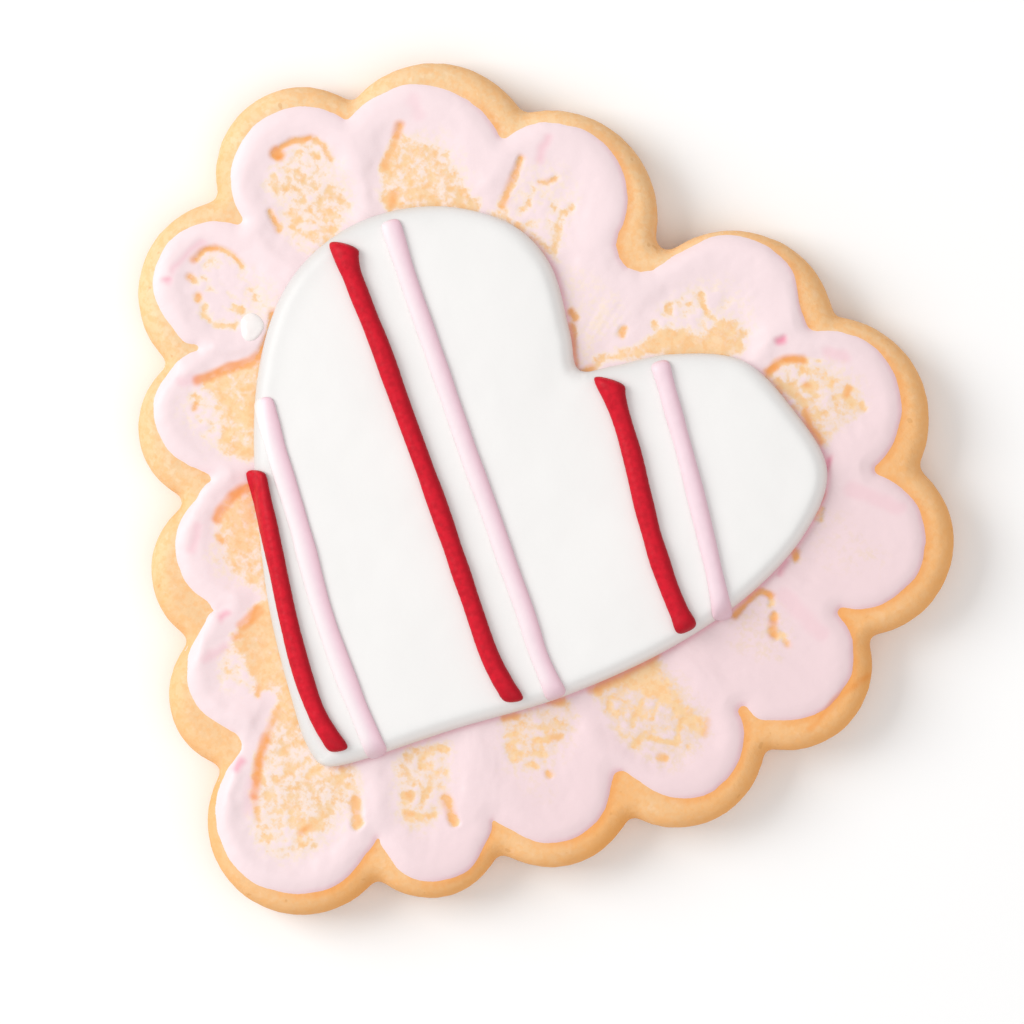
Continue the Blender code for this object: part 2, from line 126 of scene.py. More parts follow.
# Patches that the brush wiped thin: their outline and how much glaze is left, from 0 to 1
BARE_PATCHES = {
    "left_lobe": ([(-17.3, 33.6), (-16.4, 36.4), (-13.5, 37.0), (-11.2, 36.8), (-9.5, 35.6),
                   (-8.3, 31.0), (-12.5, 30.0), (-17.3, 31.0)], 0.58),
    "left_shoulder": ([(-30.9, 32.6), (-29.2, 34.4), (-26.4, 35.0), (-23.6, 34.0), (-21.2, 32.8),
                       (-18.7, 32.2), (-20.0, 29.4), (-26.9, 25.9), (-29.8, 28.6)], 0.17),
    "left_side": ([(-40.2, 23.8), (-39.4, 26.6), (-37.4, 27.8), (-35.4, 27.0), (-34.6, 25.6),
                   (-31.6, 24.6), (-30.6, 18.4), (-32.6, 17.4), (-35.6, 17.6), (-37.2, 20.4),
                   (-40.2, 21.0)], 0.34),
    "left_arc": ([(-41.2, 11.4), (-39.4, 12.2), (-36.6, 11.8), (-34.4, 9.6), (-34.2, 6.4),
                  (-36.8, 5.2), (-39.4, 6.2), (-41.4, 8.4)], 0.66),
    "left_flank": ([(-31.4, 3.2), (-29.6, 5.0), (-27.0, 1.0), (-24.8, -4.8), (-27.2, -6.2),
                    (-29.0, -6.3), (-31.0, -4.4), (-32.8, -2.2), (-34.2, -0.8), (-33.0, 1.4)], 0.12),
    "left_fade": ([(-34.2, -1.6), (-32.4, -2.4), (-29.4, -5.6), (-31.4, -6.2), (-34.4, -4.6)], 0.52),
    "left_low": ([(-23.6, -7.6), (-24.6, -10.0), (-24.8, -12.8), (-23.0, -14.6), (-20.6, -16.8),
                  (-18.4, -17.2), (-16.2, -17.4), (-15.2, -19.0), (-14.0, -17.2), (-20.0, -9.6)],
                 0.15),
    "left_foot": ([(-16.0, -18.2), (-16.3, -21.0), (-16.2, -24.2), (-13.8, -25.4),
                   (-11.4, -26.8), (-10.3, -26.2), (-9.2, -25.0), (-7.4, -24.2), (-10.0, -21.0),
                   (-14.0, -17.0)], 0.03),
    "left_toe": ([(-16.4, -24.0), (-15.6, -27.4), (-13.4, -28.6), (-11.2, -27.2), (-12.0, -25.8)],
                 0.62),
    "point": ([(-8.4, -24.6), (-8.4, -26.6), (-7.9, -29.6), (-7.8, -31.6), (-6.9, -34.0),
               (-5.4, -36.8), (-3.6, -38.2), (-0.4, -38.8), (2.4, -38.0), (3.8, -36.0),
               (3.6, -33.4), (4.4, -31.0), (3.6, -29.0), (1.6, -28.0), (-2.0, -28.0),
               (-5.4, -25.8)], 0.28),
    "point_fade": ([(-4.6, -37.4), (-3.2, -40.2), (-0.4, -41.2), (2.4, -40.0), (4.2, -37.0),
                    (0.0, -38.0)], 0.44),
    "left_band": ([(-12.6, -22.0), (-10.4, -24.4), (-8.8, -26.2), (-8.4, -28.6), (-5.0, -28.2),
                   (-5.6, -26.0), (-9.0, -22.8)], 0.05),
    "right_low": ([(13.6, -15.0), (16.6, -11.4), (18.2, -9.2), (20.6, -10.2), (20.4, -13.4),
                   (20.2, -17.0), (17.6, -18.6), (15.8, -17.4)], 0.40),
    "right_foot": ([(6.0, -24.6), (8.0, -21.6), (10.6, -20.4), (12.0, -24.0), (13.2, -27.6),
                    (12.4, -29.8), (9.8, -30.2), (8.2, -27.6)], 0.40),
    "right_flank": ([(23.6, 0.6), (25.4, -0.4), (28.2, -1.7), (30.2, -2.9), (32.6, -2.8),
                     (33.8, -4.2), (33.0, -5.1), (30.6, -5.0), (28.6, -4.2), (26.6, -4.6),
                     (25.6, -7.2), (23.4, -7.4), (20.4, -6.6)], 0.05),
    "right_fade": ([(21.6, -6.0), (26.0, -4.0), (30.0, -4.4), (32.0, -6.6), (31.6, -9.0),
                    (28.0, -10.0), (24.0, -9.0)], 0.45),
    "right_shoulder": ([(18.1, 33.0), (19.2, 35.8), (21.4, 37.0), (24.4, 37.2), (28.6, 36.6),
                        (28.6, 34.0), (27.6, 32.4), (27.3, 29.6), (22.0, 31.4)], 0.36),
    "right_lobe": ([(1.2, 24.2), (3.4, 27.2), (5.2, 30.2), (5.0, 33.6), (7.6, 34.3),
                    (9.2, 34.4), (9.6, 36.0), (13.6, 35.8), (14.3, 33.0), (9.0, 29.6)], 0.05),
    "right_cloud": ([(4.4, 31.0), (4.6, 34.4), (7.0, 37.4), (10.6, 37.2), (9.6, 33.6)], 0.62),
}

# Strokes and spots bared by single bristles: points along each, half its width and how bare
BARE_STROKES = [
    ([(-17.7, 38.8), (-17.1, 36.0), (-16.7, 33.2)], 0.42, 0.9),
    ([(-14.6, 37.6), (-13.8, 38.0), (-13.3, 39.0)], 0.3, 0.8),
    ([(-14.6, 36.6), (-14.4, 34.0)], 0.3, 0.6),
    ([(-10.2, 37.3), (-10.3, 35.2), (-9.2, 32.2)], 0.5, 0.8),
    ([(-16.6, 32.4), (-13.0, 32.3), (-9.4, 31.8)], 0.4, 0.7),
    ([(-31.0, 34.6), (-30.5, 32.2), (-30.3, 29.6)], 0.38, 0.9),
    ([(-27.6, 27.6), (-27.3, 27.0)], 0.5, 0.9),
    ([(-41.0, 25.2), (-40.3, 26.7), (-38.9, 28.1), (-37.2, 28.3), (-35.6, 27.5)], 0.34, 1.0),
    ([(-41.1, 24.8), (-40.7, 24.8)], 0.6, 1.0),
    ([(-39.9, 22.6), (-39.6, 21.8), (-38.6, 21.2)], 0.35, 0.7),
    ([(-38.2, 18.9), (-36.2, 17.8)], 0.36, 0.95),
    ([(-34.6, 21.4), (-35.2, 19.0)], 0.4, 0.6),
    ([(-42.2, 10.0), (-42.0, 11.3), (-41.0, 12.3), (-39.5, 12.7), (-37.5, 12.2)], 0.32, 1.0),
    ([(-41.9, 8.1), (-41.2, 8.0)], 0.42, 0.9),
    ([(-39.9, 6.7), (-39.7, 6.3)], 0.38, 1.0),
    ([(-36.0, 8.0), (-35.7, 7.5)], 0.42, 0.9),
    ([(-38.7, 6.2), (-38.2, 5.3), (-36.8, 5.1), (-35.0, 5.8), (-34.6, 6.5)], 0.3, 0.9),
    ([(-34.6, 10.2), (-34.4, 9.8)], 0.3, 0.45),
    ([(-31.8, 9.4), (-30.9, 7.4), (-30.6, 4.6)], 0.4, 1.0),
    ([(-33.8, -3.6), (-33.6, -4.0)], 0.34, 0.9),
    ([(-32.8, -4.7), (-32.3, -4.8)], 0.28, 0.7),
    ([(-23.8, -14.6), (-23.3, -14.8)], 0.35, 0.9),
    ([(-10.9, -26.2), (-10.7, -27.4)], 0.3, 0.8),
    ([(3.2, -30.4), (4.6, -30.3)], 0.25, 0.7),
    ([(4.8, -31.2), (5.6, -32.2), (6.3, -33.2)], 0.5, 1.0),
    ([(6.3, -33.1), (6.4, -33.5)], 0.66, 1.0),
    ([(-3.8, -37.8), (-3.2, -38.8)], 0.4, 0.8),
    ([(-2.2, -40.0), (-1.2, -40.2)], 0.4, 0.7),
    ([(2.1, -36.4), (1.5, -37.8), (2.2, -38.6)], 0.42, 0.9),
    ([(9.6, -21.4), (10.4, -21.1)], 0.42, 0.95),
    ([(8.8, -22.5), (8.4, -23.4)], 0.3, 0.8),
    ([(7.7, -25.4), (8.1, -25.6)], 0.3, 0.8),
    ([(11.7, -23.1), (11.9, -23.4)], 0.25, 0.7),
    ([(9.1, -28.0), (9.7, -27.4)], 0.5, 0.95),
    ([(11.0, -25.2), (11.3, -28.2)], 0.34, 0.75),
    ([(12.6, -28.4), (12.9, -27.9)], 0.38, 0.95),
    ([(10.3, -29.4), (11.9, -28.9)], 0.36, 0.95),
    ([(13.1, -25.6), (14.2, -26.5), (15.2, -27.3)], 0.42, 1.0),
    ([(15.1, -27.2), (15.4, -27.4)], 0.64, 1.0),
    ([(18.3, -14.8), (19.4, -13.9), (20.2, -13.2)], 0.34, 0.95),
    ([(18.9, -16.3), (19.9, -15.8)], 0.3, 0.9),
    ([(19.2, -17.3), (19.8, -17.4)], 0.28, 0.9),
    ([(16.2, -17.0), (17.2, -17.6)], 0.72, 0.8),
    ([(17.2, -10.4), (18.4, -9.6)], 0.42, 0.95),
    ([(13.9, -14.8), (15.0, -13.8)], 0.4, 0.9),
    ([(21.3, -17.3), (21.6, -17.4)], 0.36, 1.0),
    ([(25.9, -4.8), (26.3, -8.0)], 0.36, 0.85),
    ([(30.9, -9.1), (31.3, -9.0)], 0.44, 1.0),
    ([(27.6, -9.7), (27.8, -8.5)], 0.42, 0.95),
    ([(28.6, -7.9), (30.2, -7.5), (31.5, -6.9)], 0.34, 1.0),
    ([(30.9, -5.6), (31.5, -6.9)], 0.32, 0.9),
    ([(27.4, -4.4), (27.9, -5.8)], 0.3, 0.8),
    ([(32.8, -6.5), (32.9, -6.4)], 0.28, 0.9),
    ([(29.5, 8.6), (29.8, 10.6), (30.3, 12.1), (31.6, 12.6), (32.2, 11.9)], 0.34, 1.0),
    ([(33.1, 11.0), (33.4, 10.5)], 0.36, 1.0),
    ([(33.8, 9.4), (34.6, 9.1)], 0.5, 1.0),
    ([(34.8, 9.6), (36.0, 9.1)], 0.34, 0.9),
    ([(30.3, 25.0), (30.3, 22.8)], 0.5, 1.0),
    ([(31.1, 23.4), (31.5, 22.8)], 0.6, 0.85),
    ([(31.4, 18.1), (31.9, 17.6)], 0.48, 1.0),
    ([(18.2, 33.4), (18.9, 35.3), (20.7, 36.7)], 0.36, 1.0),
    ([(18.6, 32.9), (21.4, 33.0), (23.4, 32.6)], 0.5, 0.9),
    ([(20.9, 36.6), (21.3, 35.2)], 0.3, 0.8),
    ([(22.4, 34.3), (22.8, 34.6)], 0.4, 1.0),
    ([(22.1, 37.4), (22.3, 37.4)], 0.25, 0.7),
    ([(26.7, 36.5), (27.0, 35.8), (27.7, 35.4)], 0.56, 1.0),
    ([(28.8, 36.0), (29.3, 35.6)], 0.34, 0.9),
    ([(24.0, 32.0), (25.4, 30.8), (27.2, 30.1)], 0.34, 1.0),
    ([(7.4, 36.8), (8.2, 35.8), (9.6, 35.3)], 0.34, 0.9),
    ([(4.9, 33.6), (5.3, 33.2)], 0.4, 0.8),
    ([(4.6, 31.2), (4.9, 30.8)], 0.36, 0.85),
    ([(2.0, 29.0), (2.2, 28.2)], 0.4, 0.95),
    ([(-4.0, 27.4), (-3.2, 27.1)], 0.42, 1.0),
    ([(-3.2, 26.4), (-1.4, 23.9), (0.1, 22.1), (1.3, 23.0), (1.9, 24.8)], 0.42, 0.85),
]

# Where the wash is so thin that the biscuit tints it: outline and how thin
THIN_PATCHES = [
    ([(31.2, 17.0), (31.6, 24.6), (37.0, 25.0), (42.0, 23.0), (41.0, 19.6), (35.0, 17.0)], 0.30),
    ([(4.0, 31.0), (4.6, 37.0), (8.6, 40.4), (13.0, 39.6), (14.6, 35.0)], 0.42),
    ([(-29.0, 36.4), (-24.0, 37.4), (-20.0, 34.0), (-19.0, 31.0), (-30.0, 30.0)], 0.36),
    ([(-17.0, 39.0), (-13.0, 41.0), (-9.6, 39.0), (-8.4, 31.0), (-17.2, 31.0)], 0.45),
    ([(-41.4, 11.6), (-37.0, 12.6), (-32.2, 12.0), (-31.0, 9.0), (-35.0, 5.6), (-40.2, 5.6)], 0.5),
    ([(-40.6, 27.6), (-35.0, 28.6), (-30.0, 25.0), (-31.4, 17.0), (-39.6, 19.6)], 0.5),
    ([(21.0, 31.0), (22.0, 38.6), (28.6, 38.6), (29.6, 35.6), (27.0, 30.0)], 0.5),
    ([(-7.6, 30.4), (-3.6, 33.0), (1.8, 31.0), (1.4, 24.0), (0.2, 22.0), (-3.6, 26.0)], 0.45),
    ([(6.0, -24.0), (9.6, -20.0), (13.6, -23.0), (13.6, -31.0), (8.6, -31.0)], 0.42),
    ([(14.0, -15.0), (18.0, -9.4), (22.0, -10.4), (22.4, -17.0), (17.0, -20.4)], 0.42),
    ([(17.0, -19.0), (21.0, -22.0), (24.0, -20.0), (22.0, -16.0)], 0.3),
    ([(23.0, 0.0), (33.4, -1.6), (34.6, -6.6), (31.0, -11.0), (21.0, -8.0)], 0.5),
    ([(29.4, 6.0), (30.4, 12.6), (35.0, 12.0), (37.4, 8.0), (33.0, 5.0)], 0.4),
    ([(-5.0, -37.0), (-3.4, -41.4), (1.6, -42.4), (5.2, -38.0), (6.0, -31.0), (2.0, -28.0)], 0.5),
    ([(-16.0, -22.0), (-16.4, -27.2), (-13.0, -29.8), (-10.8, -27.4), (-13.0, -20.0)], 0.5),
    ([(-25.0, -12.0), (-24.0, -17.6), (-20.0, -19.6), (-16.6, -16.4), (-22.0, -9.0)], 0.5),
    ([(-35.6, -2.0), (-35.0, -6.0), (-29.4, -8.0), (-25.4, -5.4), (-30.0, 2.0)], 0.5),
]

# Thick strokes from the dips between scallops in to the heart: route, half width and height
SPOKES = [
    ([(9.0, -33.0), (6.0, -29.0), (4.4, -27.4)], 1.7, 0.16),
    ([(18.2, -24.2), (14.0, -22.0), (10.8, -19.2)], 2.4, 0.2),
    ([(26.6, -12.0), (22.6, -10.4), (19.4, -8.6)], 2.0, 0.22),
    ([(36.0, -0.6), (32.0, 0.8), (27.2, 2.6)], 1.9, 0.24),
    ([(39.0, 15.0), (35.0, 14.6), (31.6, 14.0)], 1.7, 0.2),
    ([(33.2, 30.6), (31.6, 29.6), (29.8, 28.0)], 1.8, 0.4),
    ([(18.0, 40.0), (16.4, 37.6), (15.6, 33.6)], 1.7, 0.36),
    ([(-20.4, 39.8), (-19.0, 36.0), (-18.4, 32.2)], 1.4, 0.3),
    ([(-36.0, 31.6), (-33.0, 29.0), (-29.4, 25.6)], 1.8, 0.26),
    ([(-41.0, 16.2), (-37.0, 15.4), (-33.0, 15.2)], 1.6, 0.26),
    ([(-37.2, 1.9), (-34.4, 3.4), (-32.0, 4.8)], 1.3, 0.42),
    ([(-27.8, -9.4), (-26.6, -7.6), (-25.8, -6.2)], 1.2, 0.45),
    ([(-19.6, -21.4), (-18.0, -19.6), (-17.4, -18.2)], 1.2, 0.5),
    ([(-9.4, -32.4), (-9.7, -30.0), (-9.9, -27.8), (-10.0, -26.4)], 1.0, 0.36),
]

# Small pits and folds where the pink looks deeper: points, half width and strength
BLUSHES = [
    ([(17.2, 36.9), (17.6, 37.5)], 0.38, 1.0),
    ([(28.9, 28.9), (29.5, 27.7)], 0.32, 1.0),
    ([(31.1, 16.6), (31.2, 15.4)], 0.28, 0.7),
    ([(-18.4, -21.3), (-18.6, -22.1)], 0.34, 0.6),
    ([(-8.2, -34.4), (-8.1, -35.4)], 0.34, 0.7),
    ([(-43.8, 6.3), (-43.7, 6.6)], 0.34, 0.6),
    ([(-43.8, 7.6), (-43.4, 10.4), (-42.6, 12.0)], 0.3, 0.3),
    ([(-26.2, -15.0), (-25.6, -17.4)], 0.5, 0.24),
    ([(-17.6, -26.8), (-16.6, -24.6)], 0.5, 0.22),
    ([(-36.4, -2.4), (-35.4, -1.2)], 0.5, 0.2),
    ([(-16.6, 42.4), (-16.0, 39.8)], 0.42, 0.3),
    ([(-31.4, 38.0), (-30.0, 36.8)], 0.7, 0.12),
    ([(22.6, 38.8), (24.6, 39.4)], 0.6, 0.2),
    ([(33.0, 27.4), (38.6, 28.4)], 0.8, 0.14),
    ([(33.0, 13.4), (38.6, 12.0)], 0.9, 0.12),
    ([(-4.6, -38.8), (-6.0, -35.6)], 0.6, 0.14),
]

# Where the biscuit shows a deeper orange under the icing's lips, partly soaked and partly painted
# shade: points, half width, depth
AMBER_EDGES = [
    ([(-17.8, 39.0), (-17.3, 36.4), (-16.8, 33.4)], 0.4, 0.55),
    ([(-14.5, 37.7), (-13.4, 38.8)], 0.3, 0.35),
    ([(-31.2, 34.8), (-30.8, 33.6)], 0.45, 0.9),
    ([(-30.6, 33.0), (-30.2, 30.0)], 0.4, 0.4),
    ([(-27.6, 27.8), (-27.2, 26.9)], 0.5, 0.6),
    ([(-41.2, 24.8), (-40.7, 24.8)], 0.72, 1.0),
    ([(-41.0, 25.4), (-40.2, 26.9), (-38.8, 28.2)], 0.34, 0.7),
    ([(-38.8, 28.2), (-37.2, 28.4), (-35.6, 27.6)], 0.36, 0.35),
    ([(-42.4, 9.9), (-42.2, 11.3), (-41.2, 12.3)], 0.4, 0.75),
    ([(-41.2, 12.4), (-39.4, 12.8), (-37.6, 12.3)], 0.3, 0.4),
    ([(-41.9, 8.1), (-41.5, 8.0)], 0.4, 0.5),
    ([(-39.9, 6.7), (-39.7, 6.4)], 0.36, 0.7),
    ([(-38.2, 18.9), (-36.2, 17.8)], 0.36, 0.5),
    ([(-31.9, 9.6), (-31.0, 7.6), (-30.6, 5.0)], 0.4, 0.7),
    ([(-30.7, 4.6), (-31.3, 3.4), (-33.0, 1.4), (-34.9, -1.2)], 0.55, 1.0),
    ([(-33.8, -3.7), (-33.6, -4.0)], 0.34, 0.6),
    ([(-23.9, -8.2), (-24.8, -10.2), (-25.0, -12.9)], 0.6, 1.0),
    ([(-23.7, -14.6), (-23.3, -14.8)], 0.34, 0.5),
    ([(-15.6, -19.4), (-16.1, -21.6)], 0.62, 0.9),
    ([(-15.9, -22.6), (-16.2, -23.2)], 0.4, 0.6),
    ([(-10.9, -26.4), (-10.6, -27.2)], 0.3, 0.4),
    ([(-7.8, -27.4), (-7.4, -30.6)], 0.4, 0.5),
    ([(-7.4, -30.6), (-6.5, -33.4), (-4.9, -36.9)], 0.5, 1.0),
    ([(-4.4, -37.6), (-3.2, -38.8)], 0.35, 0.35),
    ([(2.1, -36.6), (1.6, -37.6)], 0.34, 0.7),
    ([(4.8, -31.2), (6.3, -33.3)], 0.6, 0.45),
    ([(9.2, -27.8), (9.7, -27.5)], 0.4, 0.35),
    ([(10.4, -29.4), (10.8, -29.2)], 0.34, 0.4),
    ([(13.1, -25.6), (15.2, -27.3)], 0.6, 0.45),
    ([(19.6, -13.8), (20.2, -13.2)], 0.34, 0.4),
    ([(17.0, -10.6), (18.4, -9.6)], 0.45, 0.6),
    ([(13.9, -14.8), (15.0, -13.8)], 0.42, 0.6),
    ([(21.3, -17.3), (21.6, -17.4)], 0.38, 0.45),
    ([(30.9, -9.1), (31.3, -9.0)], 0.42, 0.4),
    ([(20.4, -6.9), (22.0, -4.4), (24.4, 0.2)], 0.5, 0.7),
    ([(33.2, -2.9), (33.8, -4.4)], 0.34, 0.4),
    ([(29.4, 8.6), (29.7, 10.6), (30.2, 12.3), (31.8, 12.6)], 0.42, 0.8),
    ([(33.1, 10.9), (34.2, 9.0)], 0.42, 0.7),
    ([(36.0, 9.1), (36.2, 9.0)], 0.34, 0.5),
    ([(30.3, 25.2), (30.2, 23.2)], 0.6, 1.0),
    ([(31.4, 18.1), (31.6, 17.6)], 0.42, 0.7),
    ([(18.1, 33.4), (18.8, 35.4), (20.6, 36.8)], 0.46, 0.95),
    ([(22.4, 34.4), (22.8, 34.5)], 0.36, 0.6),
    ([(26.7, 36.6), (26.9, 36.0)], 0.4, 0.7),
    ([(24.0, 32.0), (25.4, 30.8), (27.2, 30.0)], 0.4, 0.75),
    ([(2.0, 29.0), (2.2, 28.2)], 0.4, 0.5),
    ([(-4.0, 27.5), (-3.2, 27.1)], 0.42, 0.8),
    ([(-3.0, 26.2), (-1.4, 23.9), (0.1, 22.1), (1.4, 23.4)], 0.42, 0.6),
    ([(43.4, 2.4), (44.0, 7.0), (45.6, 10.9)], 0.36, 0.8),
]

# Piped lines from their thick start to their end: route, width, height, how much the start
# and the end swell, and how far the start and the end slant
RED_LINES = {
    "red_line_1": ([(-24.2, -6.2), (-21.0, -9.3), (-16.3, -14.0), (-12.2, -18.2), (-7.6, -22.5),
                    (-3.5, -25.6), (0.5, -27.5)], 2.1, 1.2, 1.15, 1.05, 0.3, 0.4),
    "red_line_2": ([(-29.4, 20.3), (-27.6, 18.6), (-24.3, 16.1), (-19.6, 12.7), (-15.0, 9.1),
                    (-5.4, 1.7), (3.7, -5.6), (8.3, -9.3), (11.3, -11.2), (14.0, -12.5)],
                   2.15, 1.3, 1.5, 1.05, 0.5, 0.45),
    "red_line_3": ([(3.4, 23.3), (5.7, 21.5), (10.0, 17.8), (14.5, 13.4), (18.0, 10.2),
                    (22.0, 7.0), (26.0, 4.3)], 2.2, 1.3, 1.45, 1.2, 0.7, 0.0),
}
PALE_LINES = {
    "pink_line_1": ([(-27.8, 1.0), (-22.5, -3.8), (-16.5, -9.0), (-10.0, -15.0), (-4.0, -19.8),
                     (1.0, -23.4), (4.5, -25.8)], 2.3, 0.6, 1.0, 1.1, 0.0, 0.0),
    "pink_line_2": ([(-26.4, 25.2), (-20.8, 20.5), (-15.5, 16.3), (-9.5, 11.5), (-5.0, 7.9),
                     (0.3, 3.8), (4.8, 0.2), (9.3, -3.3), (13.5, -6.8), (17.8, -9.7)],
                    2.1, 0.75, 1.1, 1.2, 0.0, 0.0),
    "pink_line_3": ([(7.2, 28.0), (11.6, 24.0), (15.8, 20.2), (20.2, 16.0), (24.6, 11.7),
                     (28.7, 7.5)], 2.0, 0.95, 1.1, 1.2, 0.0, 0.0),
}
WHITE_DROP = (-33.0, 7.0)

# Turn of the camera about the upright axis, in degrees
CAMERA_TURN = 32.3

# Point on the cookie that the camera looks at, width that it takes in and sensor, in millimetres
CAMERA_AIM = (2.4, 5.1)
FRAME_WIDTH = 113.8
SENSOR_WIDTH = 36.0

# Height of the camera above the biscuit's top, in metres
CAMERA_DISTANCE = 0.9

# Soft lights: place to the picture's right, up and above in metres, side, power and colour
LIGHTS = {
    "key": (-0.66, 0.22, 0.55, 0.55, 5.3, (1.0, 0.99, 0.98)),
    "fill": (0.3, -0.3, 1.0, 0.9, 2.2, (1.0, 1.0, 1.0)),
}
SKY_STRENGTH = 0.60

# How far the floor lies below the biscuit's underside, in metres
FLOOR_DROP = 0.00002

# Spacing of the points along outlines, strokes and routes, in millimetres
BISCUIT_STEP = 0.8
PINK_STEP = 0.5
HEART_STEP = 0.6
PATCH_STEP = 0.6
STROKE_STEP = 0.3
SPOKE_STEP = 0.8
CREASE_STEP = 0.5
ROUTE_STEP = 0.25

# Voxels that the biscuit and the heart are remeshed with, in metres
BISCUIT_VOXEL = 0.00043
HEART_VOXEL = 0.00034

# Side of the grid that the pink icing is cut from, in metres, and its cells along each side
SHEET_SIDE = 0.0955
SHEET_CELLS = 446

# Thickness of the film that the brush leaves, and how far in the rim peaks and ends, in millimetres
FILM = 0.03
RIM_CREST = 1.7
RIM_REACH = 7.8

# How far the pink sheet reaches past its edge and under the heart, and its slack, in millimetres
SKIRT = 0.42
HEART_LAP = 1.0
CUT_SLACK = 0.12

# How far the sheet stays inside the biscuit's outline, in millimetres
BISCUIT_MARGIN = 0.2

# How far below the biscuit's top the sheet's border may hang and its bottom lies, in millimetres
SHEET_SUNK = 1.2
SHEET_BOTTOM = 1.3

# Piped beads: ring spacing and the stretch at each end where rings crowd, in millimetres
RING_SPACING = 0.42
END_ZONE = 4.4

# Number of sides round a bead
BEAD_SIDES = 28

# How far along a bead its start, its end and their slant are felt, and its ribs, in millimetres
START_REACH = 2.6
END_REACH = 2.0
SLANT_REACH = 1.6
RIB_SPACING = 0.95

# Taper of a bead's ends: reach as a share of half the width, and the power that rounds it
TAPER_REACH = 0.7
TAPER_ROUNDNESS = 2.6

# Share of a bead's height at which it is widest, and how far it sinks in, in millimetres
BEAD_FOOT = 0.34
BEAD_SINK = 0.18

# Half the white drop's length and width, and its rise and sink, in millimetres
DROP_LENGTH = 1.60
DROP_WIDTH = 1.30
DROP_RISE = 0.45
DROP_SINK = 0.15

# Turn of the drop's long way, in degrees
DROP_TURN = 112.0

# Colours that go with the ones in the panel
FLOUR = (0.93, 0.77, 0.56)
# Painted shade: the glaze and the pink on the side away from the light
SHADED_GLAZE = (0.80, 0.62, 0.535)
SHADED_PINK = (0.817, 0.635, 0.655)
# Painted shade on the white heart's edge that faces away from the light
HEART_EDGE_SHADE = (0.80, 0.69, 0.65)
# Painted highlight on the pale lines' flank toward the light
PALE_HIGHLIGHT = (0.86, 0.79, 0.805)
# Painted shade on the pale lines' flank away from the light, also used for their darker last stretch
DEEP_PALE = (0.80, 0.53, 0.61)
DROP_COLOURS = ((0.86, 0.82, 0.80), (0.83, 0.77, 0.755))
FLOOR_COLOURS = ((0.93, 0.93, 0.93), (0.94, 0.94, 0.94))


class CookieSizes(bpy.types.PropertyGroup):
    """Sizes of the cookie's layers."""

    biscuit_height: FloatProperty(
        name="Biscuit Height", description="Thickness of the baked biscuit",
        default=BISCUIT_HIGH.z, unit="LENGTH", precision=4)
    biscuit_rounding: FloatProperty(
        name="Biscuit Rounding", description="Radius of the biscuit's upper edge",
        default=0.0021, unit="LENGTH", precision=4)
    rim_height: FloatProperty(
        name="Rim Height", description="Height of the pink icing's piped rim",
        default=0.00047, unit="LENGTH", precision=5)
    wash_height: FloatProperty(
        name="Wash Height", description="Thickness of the brushed pink icing inside its rim",
        default=0.00036, unit="LENGTH", precision=5)
    heart_height: FloatProperty(
        name="Heart Height", description="Height of the white heart above the biscuit",
        default=0.0023, unit="LENGTH", precision=5)
    heart_rounding: FloatProperty(
        name="Heart Rounding", description="Radius of the white heart's pillowy edge",
        default=0.0017, unit="LENGTH", precision=5)


class CookieColours(bpy.types.PropertyGroup):
    """Colours of the cookie's biscuit and icings."""

    crumb: FloatVectorProperty(
        name="Crumb", description="Paler colour of the baked surface",
        subtype="COLOR", size=3, min=0.0, max=1.0, default=(0.87, 0.64, 0.385))
    crust: FloatVectorProperty(
        name="Crust", description="Browner colour of the biscuit's edge",
        subtype="COLOR", size=3, min=0.0, max=1.0, default=(0.84, 0.385, 0.11))
    amber: FloatVectorProperty(
        name="Amber", description="Deep orange under the edge of the icing",
        subtype="COLOR", size=3, min=0.0, max=1.0, default=(0.84, 0.29, 0.048))
    pink: FloatVectorProperty(
        name="Pink Icing", description="Colour of the brushed pink icing",
        subtype="COLOR", size=3, min=0.0, max=1.0, default=(0.845, 0.687, 0.706))
    glaze: FloatVectorProperty(
        name="Glaze", description="Creamy colour of the icing where it is brushed thin",
        subtype="COLOR", size=3, min=0.0, max=1.0, default=(0.87, 0.715, 0.63))
    # Blush also colours the painted shade along the pink icing's edges
    blush: FloatVectorProperty(
        name="Blush", description="Deeper pink in the folds and pits of the pink icing",
        subtype="COLOR", size=3, min=0.0, max=1.0, default=(0.82, 0.28, 0.39))
    white: FloatVectorProperty(
        name="White Icing", description="Colour of the white heart",
        subtype="COLOR", size=3, min=0.0, max=1.0, default=(0.845, 0.833, 0.82))
    red: FloatVectorProperty(
        name="Red Icing", description="Colour of the piped red lines",
        subtype="COLOR", size=3, min=0.0, max=1.0, default=(0.62, 0.006, 0.022))
    pale_pink: FloatVectorProperty(
        name="Pale Pink Icing", description="Colour of the piped pale pink lines",
        subtype="COLOR", size=3, min=0.0, max=1.0, default=(0.845, 0.63, 0.70))


def fillet_centre(first, second):
    """Centre of the fillet that touches two neighbouring scallops on their outer side."""
    x1, y1, r1, fillet = first
    x2, y2, r2, _ = second
    apart = hypot(x2 - x1, y2 - y1)
    along = ((x2 - x1) / apart, (y2 - y1) / apart)
    reach = ((r1 + fillet) ** 2 - (r2 + fillet) ** 2 + apart ** 2) / (2 * apart)
    rise = sqrt(max((r1 + fillet) ** 2 - reach ** 2, 0.0))
    return x1 + along[0] * reach + along[1] * rise, y1 + along[1] * reach - along[0] * rise


def arc_points(centre, radius, start, end, count):
    """Points along an arc from one angle towards another, without the last."""
    turns = [start + (end - start) * k / count for k in range(count)]
    return [(centre[0] + radius * cos(a), centre[1] + radius * sin(a)) for a in turns]


